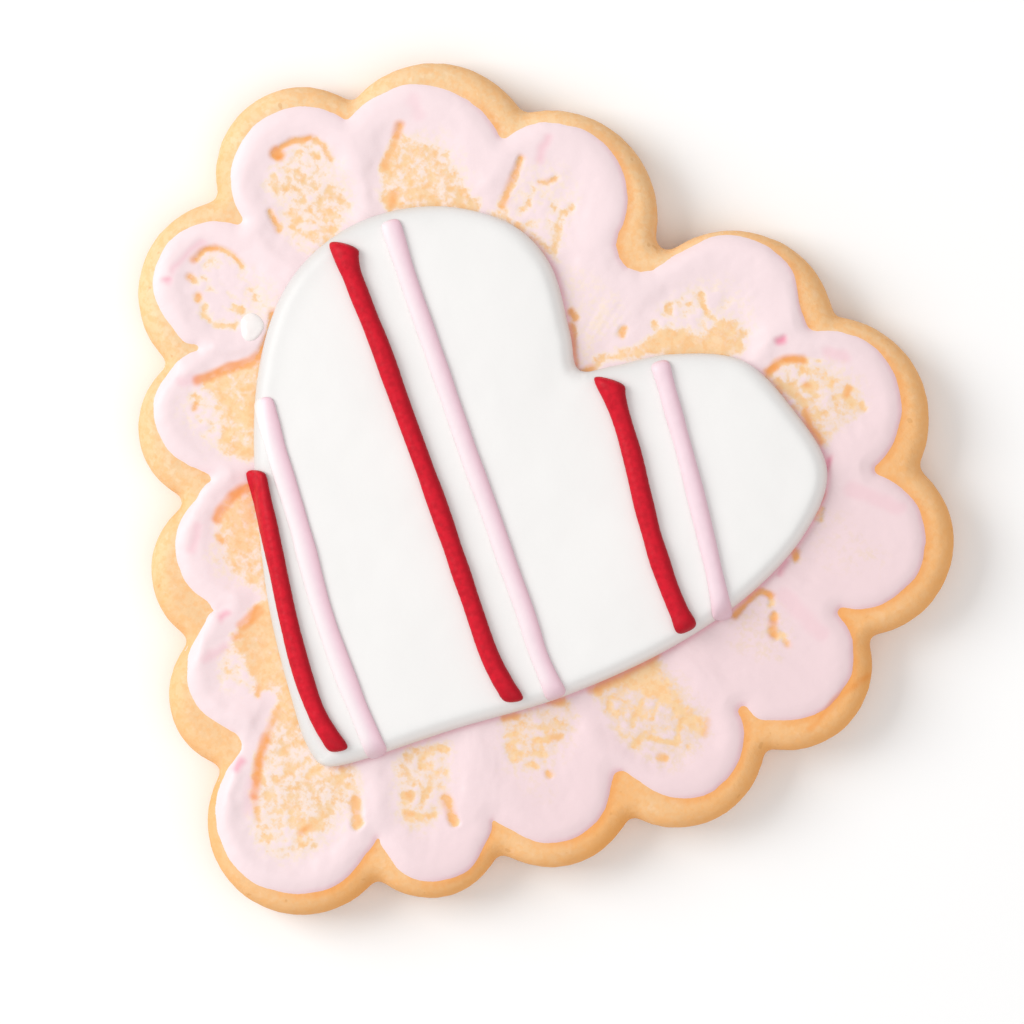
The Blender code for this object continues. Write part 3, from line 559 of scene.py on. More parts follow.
def scalloped_outline(scallops, step):
    """Scallops joined by tangent fillets, anticlockwise."""
    points = []
    number = len(scallops)
    fillets = [fillet_centre(scallops[i], scallops[(i + 1) % number]) for i in range(number)]
    for i, (x, y, radius, fillet) in enumerate(scallops):
        before = fillets[i - 1]
        after = fillets[i]
        start = atan2(before[1] - y, before[0] - x)
        end = atan2(after[1] - y, after[0] - x)
        while end < start:
            end += 2 * pi
        points += arc_points((x, y), radius, start, end, ceil((end - start) * radius / step))
        following = scallops[(i + 1) % number]
        start = atan2(y - after[1], x - after[0])
        end = atan2(following[1] - after[1], following[0] - after[0])
        while end > start:
            end -= 2 * pi
        points += arc_points(after, fillet, start, end, 6)
    return np.array(points)


def smooth_curve(knots, step, closed):
    """Evenly spaced points on a Catmull-Rom curve through the knots."""
    ring = np.array(knots, float)
    count = len(ring)
    fine = []
    for i in range(count if closed else count - 1):
        if closed:
            a, b, c, d = (ring[(i + k) % count] for k in (-1, 0, 1, 2))
        else:
            a, b, c, d = (ring[min(max(i + k, 0), count - 1)] for k in (-1, 0, 1, 2))
        for t in np.arange(24) / 24:
            fine.append(0.5 * (2 * b + (c - a) * t + (2 * a - 5 * b + 4 * c - d) * t * t
                               + (3 * b - a - 3 * c + d) * t ** 3))
    fine.append(ring[0] if closed else ring[-1])
    fine = np.array(fine)
    run = np.concatenate(([0.0], np.cumsum(np.hypot(*np.diff(fine, axis=0).T))))
    wanted = np.linspace(0.0, run[-1], ceil(run[-1] / step) + 1)
    points = np.stack((np.interp(wanted, run, fine[:, 0]), np.interp(wanted, run, fine[:, 1])), 1)
    return points[:-1] if closed else points


def camera_way(right, up):
    """Direction on the table given as right and up in the picture."""
    turn = radians(CAMERA_TURN)
    return Vector((right * cos(turn) - up * sin(turn), right * sin(turn) + up * cos(turn), 0.0))


def nearest(line, places, closed):
    """Distance from each place to a line of points, and the nearest point on it."""
    starts = np.array(line, float)
    ends = np.roll(starts, -1, axis=0)
    if not closed:
        starts, ends = starts[:-1], ends[:-1]
    along = ends - starts
    square = np.maximum((along ** 2).sum(1), 1e-12)
    away = np.empty(len(places))
    foot = np.empty((len(places), 2))
    for first in range(0, len(places), 4000):
        part = places[first:first + 4000]
        offset = part[:, None, :] - starts[None]
        share = np.clip((offset * along).sum(2) / square, 0.0, 1.0)
        close = starts[None] + share[..., None] * along
        gaps = ((part[:, None, :] - close) ** 2).sum(2)
        best = gaps.argmin(1)
        rows = np.arange(len(part))
        away[first:first + 4000] = np.sqrt(gaps[rows, best])
        foot[first:first + 4000] = close[rows, best]
    return away, foot


def within(line, places):
    """Whether each place lies inside a closed line of points."""
    starts = np.array(line, float)
    ends = np.roll(starts, -1, axis=0)
    inside = np.zeros(len(places), bool)
    for (x1, y1), (x2, y2) in zip(starts, ends):
        if y1 != y2:
            crosses = (y1 > places[:, 1]) != (y2 > places[:, 1])
            where = x1 + (places[:, 1] - y1) / (y2 - y1) * (x2 - x1)
            inside ^= crosses & (where > places[:, 0])
    return inside


def depth_inside(line, places):
    """Distance of each place from a closed line, positive inside it and negative outside."""
    away, _ = nearest(line, places, True)
    return np.where(within(line, places), away, -away)


def beside(line, places, reach):
    """Indices of the places within reach of a line's bounding box."""
    low = np.min(line, 0) - reach
    high = np.max(line, 0) + reach
    return np.nonzero(((places > low) & (places < high)).all(1))[0]


def depth_and_facing(line, places):
    """Distance inside a closed line, and how squarely the line faces away from the light."""
    away, foot = nearest(line, places, True)
    depth = np.where(within(line, places), away, -away)
    outward = (foot - places) / np.where(np.abs(depth) < 1e-4, 1e-4, depth)[:, None]
    way = camera_way(0.94, -0.34)
    return depth, np.clip(outward @ np.array((way.x, way.y)), -1.0, 1.0)


def step_up(value, low, high):
    """Smooth rise from 0 at low to 1 at high."""
    share = np.clip((value - low) / (high - low), 0.0, 1.0)
    return share * share * (3.0 - 2.0 * share)


def blotches(x, y, size, seed):
    """Smooth random field from about -1 to 1 whose blotches are about a size across."""
    lattice = np.random.default_rng(seed).uniform(-1.0, 1.0, (256, 256))
    u = x / size + 128.0
    v = y / size + 128.0
    i = np.floor(u).astype(int)
    j = np.floor(v).astype(int)
    fu = u - i
    fv = v - j
    fu = fu * fu * (3.0 - 2.0 * fu)
    fv = fv * fv * (3.0 - 2.0 * fv)
    corners = [lattice[(i + a) % 256, (j + b) % 256] for a, b in ((0, 0), (1, 0), (0, 1), (1, 1))]
    low = corners[0] * (1.0 - fu) + corners[1] * fu
    high = corners[2] * (1.0 - fu) + corners[3] * fu
    return low * (1.0 - fv) + high * fv


def deselect_all():
    """Leave nothing selected and go back to object mode."""
    if bpy.context.mode != "OBJECT":
        bpy.ops.object.mode_set(mode="OBJECT")
    bpy.ops.object.select_all(action="DESELECT")


def make_active(thing):
    """Select one object alone."""
    deselect_all()
    thing.select_set(True)
    bpy.context.view_layer.objects.active = thing


def get_places(thing):
    """Places of an object's vertices, in metres."""
    flat = np.empty(len(thing.data.vertices) * 3, np.float32)
    thing.data.vertices.foreach_get("co", flat)
    return flat.reshape(-1, 3).astype(float)


def set_places(thing, places):
    """Move an object's vertices, in metres."""
    thing.data.vertices.foreach_set("co", places.astype(np.float32).ravel())
    thing.data.update()


def paint(thing, name, values):
    """Store a number for each vertex as an attribute that a material can read."""
    layer = thing.data.attributes.new(name, "FLOAT", "POINT")
    layer.data.foreach_set("value", values.astype(np.float32))


def apply_modifier(thing, kind, **settings):
    """Add a modifier, set it up and apply it."""
    make_active(thing)
    modifier = thing.modifiers.new(kind.title(), kind)
    for key, value in settings.items():
        setattr(modifier, key, value)
    bpy.ops.object.modifier_apply(modifier=modifier.name)


def select_edges(thing, wanted):
    """Select in edit mode the edges whose two ends both pass a test on their places."""
    make_active(thing)
    bpy.ops.object.mode_set(mode="EDIT")
    bpy.ops.mesh.select_all(action="DESELECT")
    bpy.ops.mesh.select_mode(type="EDGE")
    bpy.ops.object.mode_set(mode="OBJECT")
    ends = np.empty(len(thing.data.edges) * 2, np.int32)
    thing.data.edges.foreach_get("vertices", ends)
    passing = wanted(get_places(thing))
    chosen = passing[ends.reshape(-1, 2)].all(1)
    thing.data.edges.foreach_set("select", chosen)
    bpy.ops.object.mode_set(mode="EDIT")


def delete_vertices(thing, unwanted):
    """Delete the marked vertices in edit mode."""
    make_active(thing)
    bpy.ops.object.mode_set(mode="EDIT")
    bpy.ops.mesh.select_mode(type="VERT")
    bpy.ops.mesh.select_all(action="DESELECT")
    bpy.ops.object.mode_set(mode="OBJECT")
    thing.data.vertices.foreach_set("select", unwanted)
    bpy.ops.object.mode_set(mode="EDIT")
    bpy.ops.mesh.delete(type="VERT")
    bpy.ops.object.mode_set(mode="OBJECT")


def face_outwards():
    """Turn all faces of the mesh in edit mode outwards, and leave edit mode."""
    bpy.ops.mesh.select_all(action="SELECT")
    bpy.ops.mesh.normals_make_consistent(inside=False)
    bpy.ops.object.mode_set(mode="OBJECT")


def outline_slab(name, outline, low, high):
    """Flat slab over an outline: a disc whose rim is moved to it, then extruded upwards."""
    deselect_all()
    bpy.ops.mesh.primitive_circle_add(vertices=len(outline), radius=1.0, fill_type="NGON",
                                      location=(0.0, 0.0, 0.0))
    slab = bpy.context.active_object
    slab.name = name
    places = np.column_stack((outline * MM, np.full(len(outline), low)))
    set_places(slab, places)
    bpy.ops.object.mode_set(mode="EDIT")
    bpy.ops.mesh.select_all(action="SELECT")
    bpy.ops.mesh.extrude_region_move(TRANSFORM_OT_translate={"value": (0.0, 0.0, high - low)})
    face_outwards()
    return slab


def round_edges(thing, height, radius, segments):
    """Bevel the edges that run round the slab at one height."""
    select_edges(thing, lambda places: np.abs(places[:, 2] - height) < 1e-5)
    bpy.ops.mesh.bevel(offset=radius, segments=segments, profile=0.5, affect="EDGES")
    bpy.ops.object.mode_set(mode="OBJECT")


def finish_piece(thing, material, slot, *nodes):
    """Shade a piece smooth, give it its material and stand it for its solids."""
    make_active(thing)
    bpy.ops.object.shade_smooth()
    thing.data.materials.clear()
    thing.data.materials.append(material)
    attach(thing, "root")
    if nodes:
        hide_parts(*nodes)
    deselect_all()


class Finish:
    """A node material with a Principled shader, read in object space."""

    def __init__(self, name):
        self.material = bpy.data.materials.new(name)
        self.material.use_nodes = True
        self.tree = self.material.node_tree
        self.shader = self.tree.nodes["Principled BSDF"]
        self.place = self.add("ShaderNodeTexCoord").outputs["Object"]

    def add(self, kind, **inputs):
        """New node with some of its inputs set or linked."""
        node = self.tree.nodes.new(kind)
        for key, value in inputs.items():
            self.feed(node.inputs[key.replace("_", " ")], value)
        return node

    def feed(self, socket, value):
        """Link a socket, or set it if the value is plain."""
        if isinstance(value, bpy.types.NodeSocket):
            self.tree.links.new(value, socket)
        else:
            socket.default_value = value

    def noise(self, size, detail=2.0, roughness=0.5):
        """Noise whose blotches are about a size in metres across."""
        node = self.add("ShaderNodeTexNoise", Vector=self.place, Scale=1.0 / size,
                        Detail=detail, Roughness=roughness)
        return node.outputs["Fac"]

    def attribute(self, name):
        """Number painted on the mesh."""
        node = self.tree.nodes.new("ShaderNodeAttribute")
        node.attribute_name = name
        return node.outputs["Fac"]

    def span(self, value, low, high, bottom=0.0, top=1.0):
        """Value from low to high, spread smoothly from bottom to top."""
        node = self.tree.nodes.new("ShaderNodeMapRange")
        node.interpolation_type = "SMOOTHSTEP"
        for socket, number in zip(node.inputs, (value, low, high, bottom, top)):
            self.feed(socket, number)
        return node.outputs["Result"]

    def sum(self, first, second, operation="ADD"):
        """Two numbers put together."""
        node = self.tree.nodes.new("ShaderNodeMath")
        node.operation = operation
        self.feed(node.inputs[0], first)
        self.feed(node.inputs[1], second)
        return node.outputs[0]

    def mix(self, share, first, second):
        """Colour between two colours."""
        node = self.tree.nodes.new("ShaderNodeMix")
        node.data_type = "RGBA"
        self.feed(node.inputs["Factor"], share)
        colours = [s for s in node.inputs if s.type == "RGBA"]
        for socket, colour in zip(colours, (first, second)):
            self.feed(socket, colour if isinstance(colour, bpy.types.NodeSocket)
                      else (*colour, 1.0))
        return next(s for s in node.outputs if s.type == "RGBA")

    def bump(self, height, distance, strength=1.0, normal=None):
        """Fine relief of the shading."""
        node = self.add("ShaderNodeBump", Height=height, Distance=distance, Strength=strength)
        if normal is not None:
            self.tree.links.new(normal, node.inputs["Normal"])
        return node.outputs["Normal"]

    def done(self, colour, roughness, normal=None, **constants):
        """Wire the shader and return the material."""
        self.feed(self.shader.inputs["Base Color"], colour)
        self.feed(self.shader.inputs["Roughness"], roughness)
        if normal is not None:
            self.tree.links.new(normal, self.shader.inputs["Normal"])
        for key, value in constants.items():
            self.shader.inputs[key.replace("_", " ")].default_value = value
        return self.material


def shade(colour, factor):
    """Colour made darker or lighter."""
    return tuple(min(c * factor, 1.0) for c in colour)


def baked_colour(look, colours):
    """Mottled colour of baked dough, the same on every piece that shows it."""
    cloudy = look.span(look.noise(0.007, 3.0), 0.35, 0.65)
    colour = look.mix(cloudy, shade(colours.crumb, 1.03), shade(colours.crumb, 0.95))
    grain = look.span(look.noise(0.0008, 3.0, 0.6), 0.40, 0.66)
    colour = look.mix(look.sum(grain, 0.35, "MULTIPLY"), colour, shade(colours.crust, 1.08))
    flour = look.span(look.noise(0.0010, 2.0), 0.56, 0.72)
    colour = look.mix(look.sum(flour, 0.4, "MULTIPLY"), colour, FLOUR)
    return colour


def biscuit_finish(colours):
    """Baked dough: pale crumb, browner edges with painted shade on the side away from the light,
    amber lips that are partly painted shade, fine grain and tiny pores painted as dark spots of
    shade.
    """
    look = Finish("baked_dough")
    colour = baked_colour(look, colours)
    # Crust colour from baking, with painted shade on the side away from the light
    colour = look.mix(look.attribute("bake"), colour, tuple(colours.crust))
    colour = look.mix(look.attribute("amber"), colour, tuple(colours.amber))
    # Tiny pores painted as darker spots in place of the shade in their hollows
    pore_shade = look.span(look.noise(0.0013, 1.0), 0.27, 0.22)
    colour = look.mix(look.sum(pore_shade, 0.35, "MULTIPLY"), colour, shade(colours.crust, 0.7))
    fine = look.bump(look.noise(0.0005, 4.0, 0.6), 0.00012, 0.5)
    normal = look.bump(look.noise(0.0022, 3.0), 0.00025, 0.35, fine)
    return look.done(colour, 0.78, normal, Specular_IOR_Level=0.2)


def pink_finish(colours):
    """Pink icing: opaque where thick, a creamy glaze where thin, clear where it is broken; painted
    shade darkens it towards the side away from the light and along its shaded edges.
    """
    look = Finish("pink_icing")
    coat = look.attribute("coat")
    broken = look.span(look.noise(0.0006, 3.0, 0.6), 0.3, 0.7, -0.9, 0.9)
    part = look.sum(coat, look.sum(1.0, coat, "SUBTRACT"), "MULTIPLY")
    cover = look.sum(coat, look.sum(part, broken, "MULTIPLY"))
    cloudy = look.span(look.noise(0.006, 2.0), 0.35, 0.65)
    pink = look.mix(cloudy, tuple(colours.pink), shade(colours.pink, 1.03))
    baked = look.mix(look.attribute("bake"), baked_colour(look, colours), tuple(colours.crust))
    # Painted shade: glaze and pink darken towards the side away from the light
    far = look.attribute("far")
    glaze = look.mix(far, tuple(colours.glaze), SHADED_GLAZE)
    glazed = look.mix(look.span(cover, 0.02, 0.48), baked, glaze)
    pink = look.mix(far, pink, SHADED_PINK)
    colour = look.mix(look.span(cover, 0.40, 0.82), glazed, pink)
    # Amber: deeper orange under the icing's lips, partly painted shade
    colour = look.mix(look.attribute("amber"), colour, tuple(colours.amber))
    colour = look.mix(look.attribute("blush"), colour, tuple(colours.blush))
    roughness = look.span(coat, 0.1, 0.9, 0.6, 0.42)
    normal = look.bump(look.noise(0.0008, 3.0), 0.00005, 0.5)
    return look.done(colour, roughness, normal, Specular_IOR_Level=0.3)


def white_finish(colours):
    """White icing, dried to a soft sheen, with painted shade on its edge away from the light and its
    edge toward the light painted darker to hold down its light.
    """
    look = Finish("white_icing")
    cloudy = look.span(look.noise(0.011, 2.0), 0.35, 0.65)
    colour = look.mix(cloudy, tuple(colours.white), shade(colours.white, 0.985))
    # Painted shade at the heart's edge away from the light
    colour = look.mix(look.attribute("edge"), colour, HEART_EDGE_SHADE)
    # Painted darkening of the edge that faces the light, to hold down its light
    colour = look.mix(look.attribute("lit"), colour, shade(colours.white, 0.80))
    fine = look.bump(look.noise(0.0006, 2.0), 0.00003, 0.4)
    normal = look.bump(look.noise(0.004, 2.0), 0.00012, 0.3, fine)
    return look.done(colour, 0.42, normal, Specular_IOR_Level=0.4)


def red_finish(colours):
    """Red icing with a slightly mottled, satin skin, its flank away from the light darkened as
    painted shade and its last stretch darker.
    """
    look = Finish("red_icing")
    mottled = look.span(look.noise(0.0007, 3.0), 0.35, 0.7)
    colour = look.mix(mottled, tuple(colours.red), shade(colours.red, 0.80))
    # Painted shade on the flank away from the light, and a darker last stretch
    colour = look.mix(look.attribute("edge"), colour, shade(colours.red, 0.62))
    normal = look.bump(look.noise(0.0005, 2.0), 0.00008, 0.6)
    return look.done(colour, 0.48, normal, Specular_IOR_Level=0.16)


def pale_finish(colours):
    """Pale pink icing of the thin lines, with a painted highlight on the flank toward the light,
    stronger the flatter the line, and painted shade on the other flank.
    """
    look = Finish("pale_pink_icing")
    mottled = look.span(look.noise(0.0012, 2.0), 0.35, 0.7)
    colour = look.mix(mottled, tuple(colours.pale_pink), shade(colours.pale_pink, 0.97))
    # Painted highlight on the flank toward the light
    colour = look.mix(look.attribute("thin"), colour, PALE_HIGHLIGHT)
    # Painted shade on the flank away from the light, and a darker last stretch
    colour = look.mix(look.attribute("edge"), colour, DEEP_PALE)
    normal = look.bump(look.noise(0.0006, 2.0), 0.00005, 0.5)
    return look.done(colour, 0.42, normal, Specular_IOR_Level=0.3)


def drop_finish():
    """Glossy, slightly clear drop of icing."""
    look = Finish("drop_icing")
    colour = look.mix(look.span(look.noise(0.002, 1.0), 0.3, 0.7), *DROP_COLOURS)
    return look.done(colour, 0.18, None, Specular_IOR_Level=0.6, Coat_Weight=0.4)


def floor_finish():
    """Plain pale floor."""
    look = Finish("pale_floor")
    colour = look.mix(look.noise(0.4), *FLOOR_COLOURS)
    return look.done(colour, 0.9, None, Specular_IOR_Level=0.1)


BISCUIT_OUTLINE = scalloped_outline(BISCUIT_SCALLOPS, BISCUIT_STEP)
PINK_OUTLINE = scalloped_outline(PINK_SCALLOPS, PINK_STEP)
HEART_OUTLINE = smooth_curve(HEART_KNOTS, HEART_STEP, True)


def pink_edge(places):
    """Distance inside the pink icing's slightly wavering edge, and how the edge faces."""
    x, y = places.T
    inside, facing = depth_and_facing(PINK_OUTLINE, places)
    for stray_x, stray_y, reach, depth in EDGE_STRAYS:
        gap = (x - stray_x) ** 2 + (y - stray_y) ** 2
        inside = inside - depth * np.exp(-gap / reach ** 2)
    inside = inside + 0.14 * blotches(x, y, 2.6, 11) + 0.05 * blotches(x, y, 0.9, 12)
    return inside, facing


def streaks(places, width, length, seed):
    """Brush marks that run from the rim in towards the heart."""
    x, y = places.T
    turn = np.arctan2(y - 6.0, x) * 30.0
    reach = np.hypot(x, y - 6.0)
    wander = 1.2 * blotches(x, y, 7.0, seed + 1)
    return blotches((turn + wander) / width, reach / length, 1.0, seed)


def strokes_mask(strokes, places, softness):
    """How far each place lies in any of some strokes, from 0 to 1."""
    mask = np.zeros(len(places))
    for points, half, strength in strokes:
        line = smooth_curve(points, STROKE_STEP, False)
        near = beside(line, places, half + softness)
        away, _ = nearest(line, places[near], False)
        share = strength * (1.0 - step_up(away, half - softness, half + softness))
        mask[near] = np.maximum(mask[near], share)
    return mask


def patch_share(points, places, outer, inner):
    """Smooth share of a patch: 0 at a distance outside its outline, 1 at one inside."""
    ring = smooth_curve(points, PATCH_STEP, True)
    near = beside(ring, places, outer)
    share = np.zeros(len(places))
    share[near] = step_up(depth_inside(ring, places[near]), -outer, inner)
    return share


def strayed(places, size, by, seed):
    """Places moved about a little, so that what is drawn there has wavering edges."""
    x, y = places.T
    shift = np.stack((blotches(x, y, size, seed), blotches(x, y, size, seed + 1)), 1)
    return places + by * shift


def higher(first, second, blend):
    """The higher of two heights, blended smoothly where they are alike."""
    share = np.clip(0.5 + 0.5 * (first - second) / blend, 0.0, 1.0)
    return second + (first - second) * share + blend * share * (1.0 - share)


def amber_depth(places):
    """Deep orange under the lips of the icing, from 0 to 1, partly soaked colour and partly painted
    shade.
    """
    x, y = places.T
    lips = strokes_mask(AMBER_EDGES, strayed(places, 1.1, 0.14, 47), 0.34)
    return lips * (0.8 + 0.2 * blotches(x, y, 0.7, 49))


def bake_and_shade_depth(places, height):
    """How browned the biscuit is, from 0 to 1, by its plan place and share of its height, with
    painted shade added towards the side and on the rims that face away from the light.
    """
    x, y = places.T
    inside, facing = depth_and_facing(BISCUIT_OUTLINE, places)
    side = 1.0 - step_up(inside, 0.0, 1.6)
    # Painted shade: browner towards the side away from the light and on rims facing away from it;
    # side is the browner baked edge
    shady = step_up(0.80 * x - 0.60 * y, -34.0, 40.0)
    rim = 0.10 + 0.34 * shady + 0.26 * step_up(facing, -0.5, 1.0) + 0.25 * side
    bake = np.where(inside < 6.0, rim + 0.10 * blotches(x, y, 5.0, 51), 0.12)
    low = 0.8 * (1.0 - step_up(height, 0.0, 0.5))
    return np.clip(np.maximum(bake, low), 0.0, 1.0)


def pink_layer(places, sizes):
    """Pink icing's thickness, its cover, and its blush with painted shade along its outer edge and
    beside the heart on the sides away from the light.
    """
    x, y = places.T
    rim_height = sizes.rim_height / MM
    wash = sizes.wash_height / MM
    inside, facing = pink_edge(places)
    slope = 2.0 * rim_height / RIM_CREST
    width = RIM_REACH + 0.8 * blotches(x, y, 5.0, 21)
    rise = 1.0 - (1.0 - np.clip(inside, 0.0, RIM_CREST) / RIM_CREST) ** 2
    beyond = np.clip((inside - RIM_CREST) / (width - RIM_CREST), 0.0, 1.0)
    fall = 0.5 * (1.0 + np.cos(pi * beyond))
    uneven = 1.0 + 0.12 * blotches(x, y, 3.5, 22) + 0.05 * blotches(x, y, 1.6, 23)
    rim = rim_height * uneven * np.where(inside < RIM_CREST, rise, fall)
    start = np.clip(inside / RIM_CREST, 0.0, 1.0)
    marks = 0.6 * streaks(places, 1.3, 6.0, 31) + 0.35 * streaks(places, 0.55, 3.0, 33)
    thin = np.zeros(len(places))
    for points, amount in THIN_PATCHES:
        thin = np.maximum(thin, amount * patch_share(points, places, 2.4, 2.0))
    layer = wash * (1.0 + 0.25 * marks) * (1.0 - 0.4 * thin)
    ridge = np.zeros(len(places))
    for points, half, height in SPOKES:
        line = smooth_curve(points, SPOKE_STEP, False)
        near = beside(line, places, 3.0 * half)
        away, _ = nearest(line, places[near], False)
        ridge[near] = np.maximum(ridge[near], 0.7 * height * np.exp(-(away / half) ** 2))
    thick = higher(rim, start * (layer + ridge), 0.25)
    cover = 1.0 - 0.8 * thin * (1.0 + 0.4 * marks) * (1.0 - step_up(thick, 0.3, 0.75))
    specks = 0.8 * blotches(x, y, 1.0, 41) + 0.65 * blotches(x, y, 0.55, 42)
    specks = specks + 0.3 * streaks(places, 0.7, 1.6, 43)
    for points, glaze in BARE_PATCHES.values():
        wall = patch_share(points, strayed(places, 1.4, 0.3, 44), 2.8, 0.5)
        seen = patch_share(points, strayed(places, 1.0, 0.4, 46), 0.8, 0.7)
        glazing = np.clip(glaze + (0.11 + 0.5 * glaze) * specks, 0.0, 0.95)
        thick = thick * (1.0 - wall) + wall * (FILM + 0.13 * glazing)
        cover = cover * (1.0 - seen) + seen * glazing
    bare = strokes_mask(BARE_STROKES, strayed(places, 0.8, 0.14, 52), 0.24)
    bare = bare * np.clip(1.0 + 0.35 * blotches(x, y, 0.7, 54), 0.0, 1.0)
    thick = thick + 0.75 * bare * (FILM - thick)
    cover = cover * (1.0 - bare)
    blush = strokes_mask(BLUSHES, strayed(places, 1.0, 0.2, 55), 0.5)
    thick = thick - 0.25 * blush * step_up(thick, 0.2, 0.6)
    edge = np.where(inside < 0.0, slope * inside, np.minimum(thick, slope * inside + 0.02))
    # Painted shade along the icing's outer edge and beside the heart, on the sides away from the
    # light, goes in with the blush
    outer_edge_shade = 0.25 * (1.0 - step_up(inside, 0.0, 0.7)) * step_up(facing, -0.2, 0.9)
    in_heart, heart_facing = depth_and_facing(HEART_OUTLINE, places)
    heart_side_shade = 0.45 * np.exp(-(np.maximum(-in_heart, 0.0) / 0.4) ** 2)
    heart_side_shade = heart_side_shade * step_up(heart_facing, 0.0, 0.8)
    return edge, np.clip(cover, 0.0, 1.0), np.maximum(np.maximum(blush, outer_edge_shade), heart_side_shade)


def make_biscuit(sizes, colours):
    """Baked biscuit: scalloped slab, rounded edges, remeshed and roughened like dough."""
    slab = outline_slab("baked_biscuit", BISCUIT_OUTLINE, 0.0, sizes.biscuit_height)
    round_edges(slab, sizes.biscuit_height, sizes.biscuit_rounding, 7)
    round_edges(slab, 0.0, 0.0006, 3)
    apply_modifier(slab, "REMESH", mode="VOXEL", voxel_size=BISCUIT_VOXEL, use_smooth_shade=True)
    apply_modifier(slab, "SMOOTH", factor=0.5, iterations=3)
    coarse = bpy.data.textures.new("dough_swell", "CLOUDS")
    coarse.noise_scale = 0.006
    apply_modifier(slab, "DISPLACE", texture=coarse, texture_coords="LOCAL", strength=0.00022,
                   mid_level=0.5)
    fine = bpy.data.textures.new("dough_crumb", "CLOUDS")
    fine.noise_scale = 0.0011
    apply_modifier(slab, "DISPLACE", texture=fine, texture_coords="LOCAL", strength=0.00010,
                   mid_level=0.5)
    places = get_places(slab)
    low = np.array(BISCUIT_LOW)
    high = np.array(BISCUIT_HIGH)
    places = np.clip(places, low, high)
    underside = places[:, 2] < 0.00025
    places[underside, 2] = np.minimum(places[underside, 2], 0.00006)
    set_places(slab, places)
    plan = places[:, :2] / MM
    height = places[:, 2] / sizes.biscuit_height
    paint(slab, "bake", bake_and_shade_depth(plan, height))
    pink_inside, pink_facing = pink_edge(plan)
    # Painted shade on the biscuit just outside the pink icing's edge, on the side away from the
    # light
    lip_shade = 1.0 - step_up(np.abs(pink_inside + 0.15), 0.15, 0.75)
    lip_shade = 0.4 * lip_shade * step_up(pink_facing, -0.5, 0.8)
    amber = np.maximum(lip_shade, 0.85 * amber_depth(plan))
    paint(slab, "amber", np.where(height > 0.6, amber, 0.0))
    finish_piece(slab, biscuit_finish(colours), "biscuit", "biscuit")


def make_pink_icing(sizes, colours):
    """Brushed pink icing: a fine grid cut to its ring and raised to the icing's thickness."""
    deselect_all()
    bpy.ops.mesh.primitive_grid_add(x_subdivisions=SHEET_CELLS, y_subdivisions=SHEET_CELLS,
                                    size=SHEET_SIDE)
    sheet = bpy.context.active_object
    sheet.name = "brushed_pink_icing"
    plan = get_places(sheet)[:, :2] / MM
    inside, _ = pink_edge(plan)
    in_heart = depth_inside(HEART_OUTLINE, plan)
    on_biscuit = depth_inside(BISCUIT_OUTLINE, plan)
    keep = (inside > -SKIRT - CUT_SLACK) & (in_heart < HEART_LAP + CUT_SLACK)
    delete_vertices(sheet, ~(keep & (on_biscuit > BISCUIT_MARGIN)))
    places = get_places(sheet)
    plan = places[:, :2] / MM
    thick, cover, blush = pink_layer(plan, sizes)
    lowest = sizes.biscuit_height - SHEET_SUNK * MM
    ground = np.maximum(resting_heights(("baked_biscuit",), plan * MM), lowest)
    places[:, 2] = np.maximum(ground + thick * MM, lowest)
    set_places(sheet, places)
    paint(sheet, "coat", cover)
    paint(sheet, "bake", np.full(len(plan), 0.20))
    # Painted shade: share of the darker glaze and pink towards the side away from the light
    paint(sheet, "far", step_up(1.38 * plan[:, 0] - 0.31 * plan[:, 1], 8.0, 42.0))
    paint(sheet, "amber", 0.9 * amber_depth(plan) * (1.0 - step_up(thick, 0.2, 0.75)))
    # The blush also carries painted shade along the icing's edges
    paint(sheet, "blush", blush)
    close_underneath(sheet, sizes.biscuit_height - SHEET_BOTTOM * MM)
    finish_piece(sheet, pink_finish(colours), "pink_icing", "pink_icing")


def close_underneath(thing, bottom):
    """Drop the sheet's borders to a flat bottom and fill it, so the piece is one closed body."""
    make_active(thing)
    before = len(thing.data.vertices)
    bpy.ops.object.mode_set(mode="EDIT")
    bpy.ops.mesh.select_mode(type="EDGE")
    bpy.ops.mesh.select_all(action="SELECT")
    bpy.ops.mesh.region_to_loop()
    bpy.ops.mesh.extrude_edges_move()
    bpy.ops.object.mode_set(mode="OBJECT")
    places = get_places(thing)
    places[before:, 2] = bottom
    set_places(thing, places)
    bpy.ops.object.mode_set(mode="EDIT")
    bpy.ops.mesh.fill(use_beauty=False)
    face_outwards()


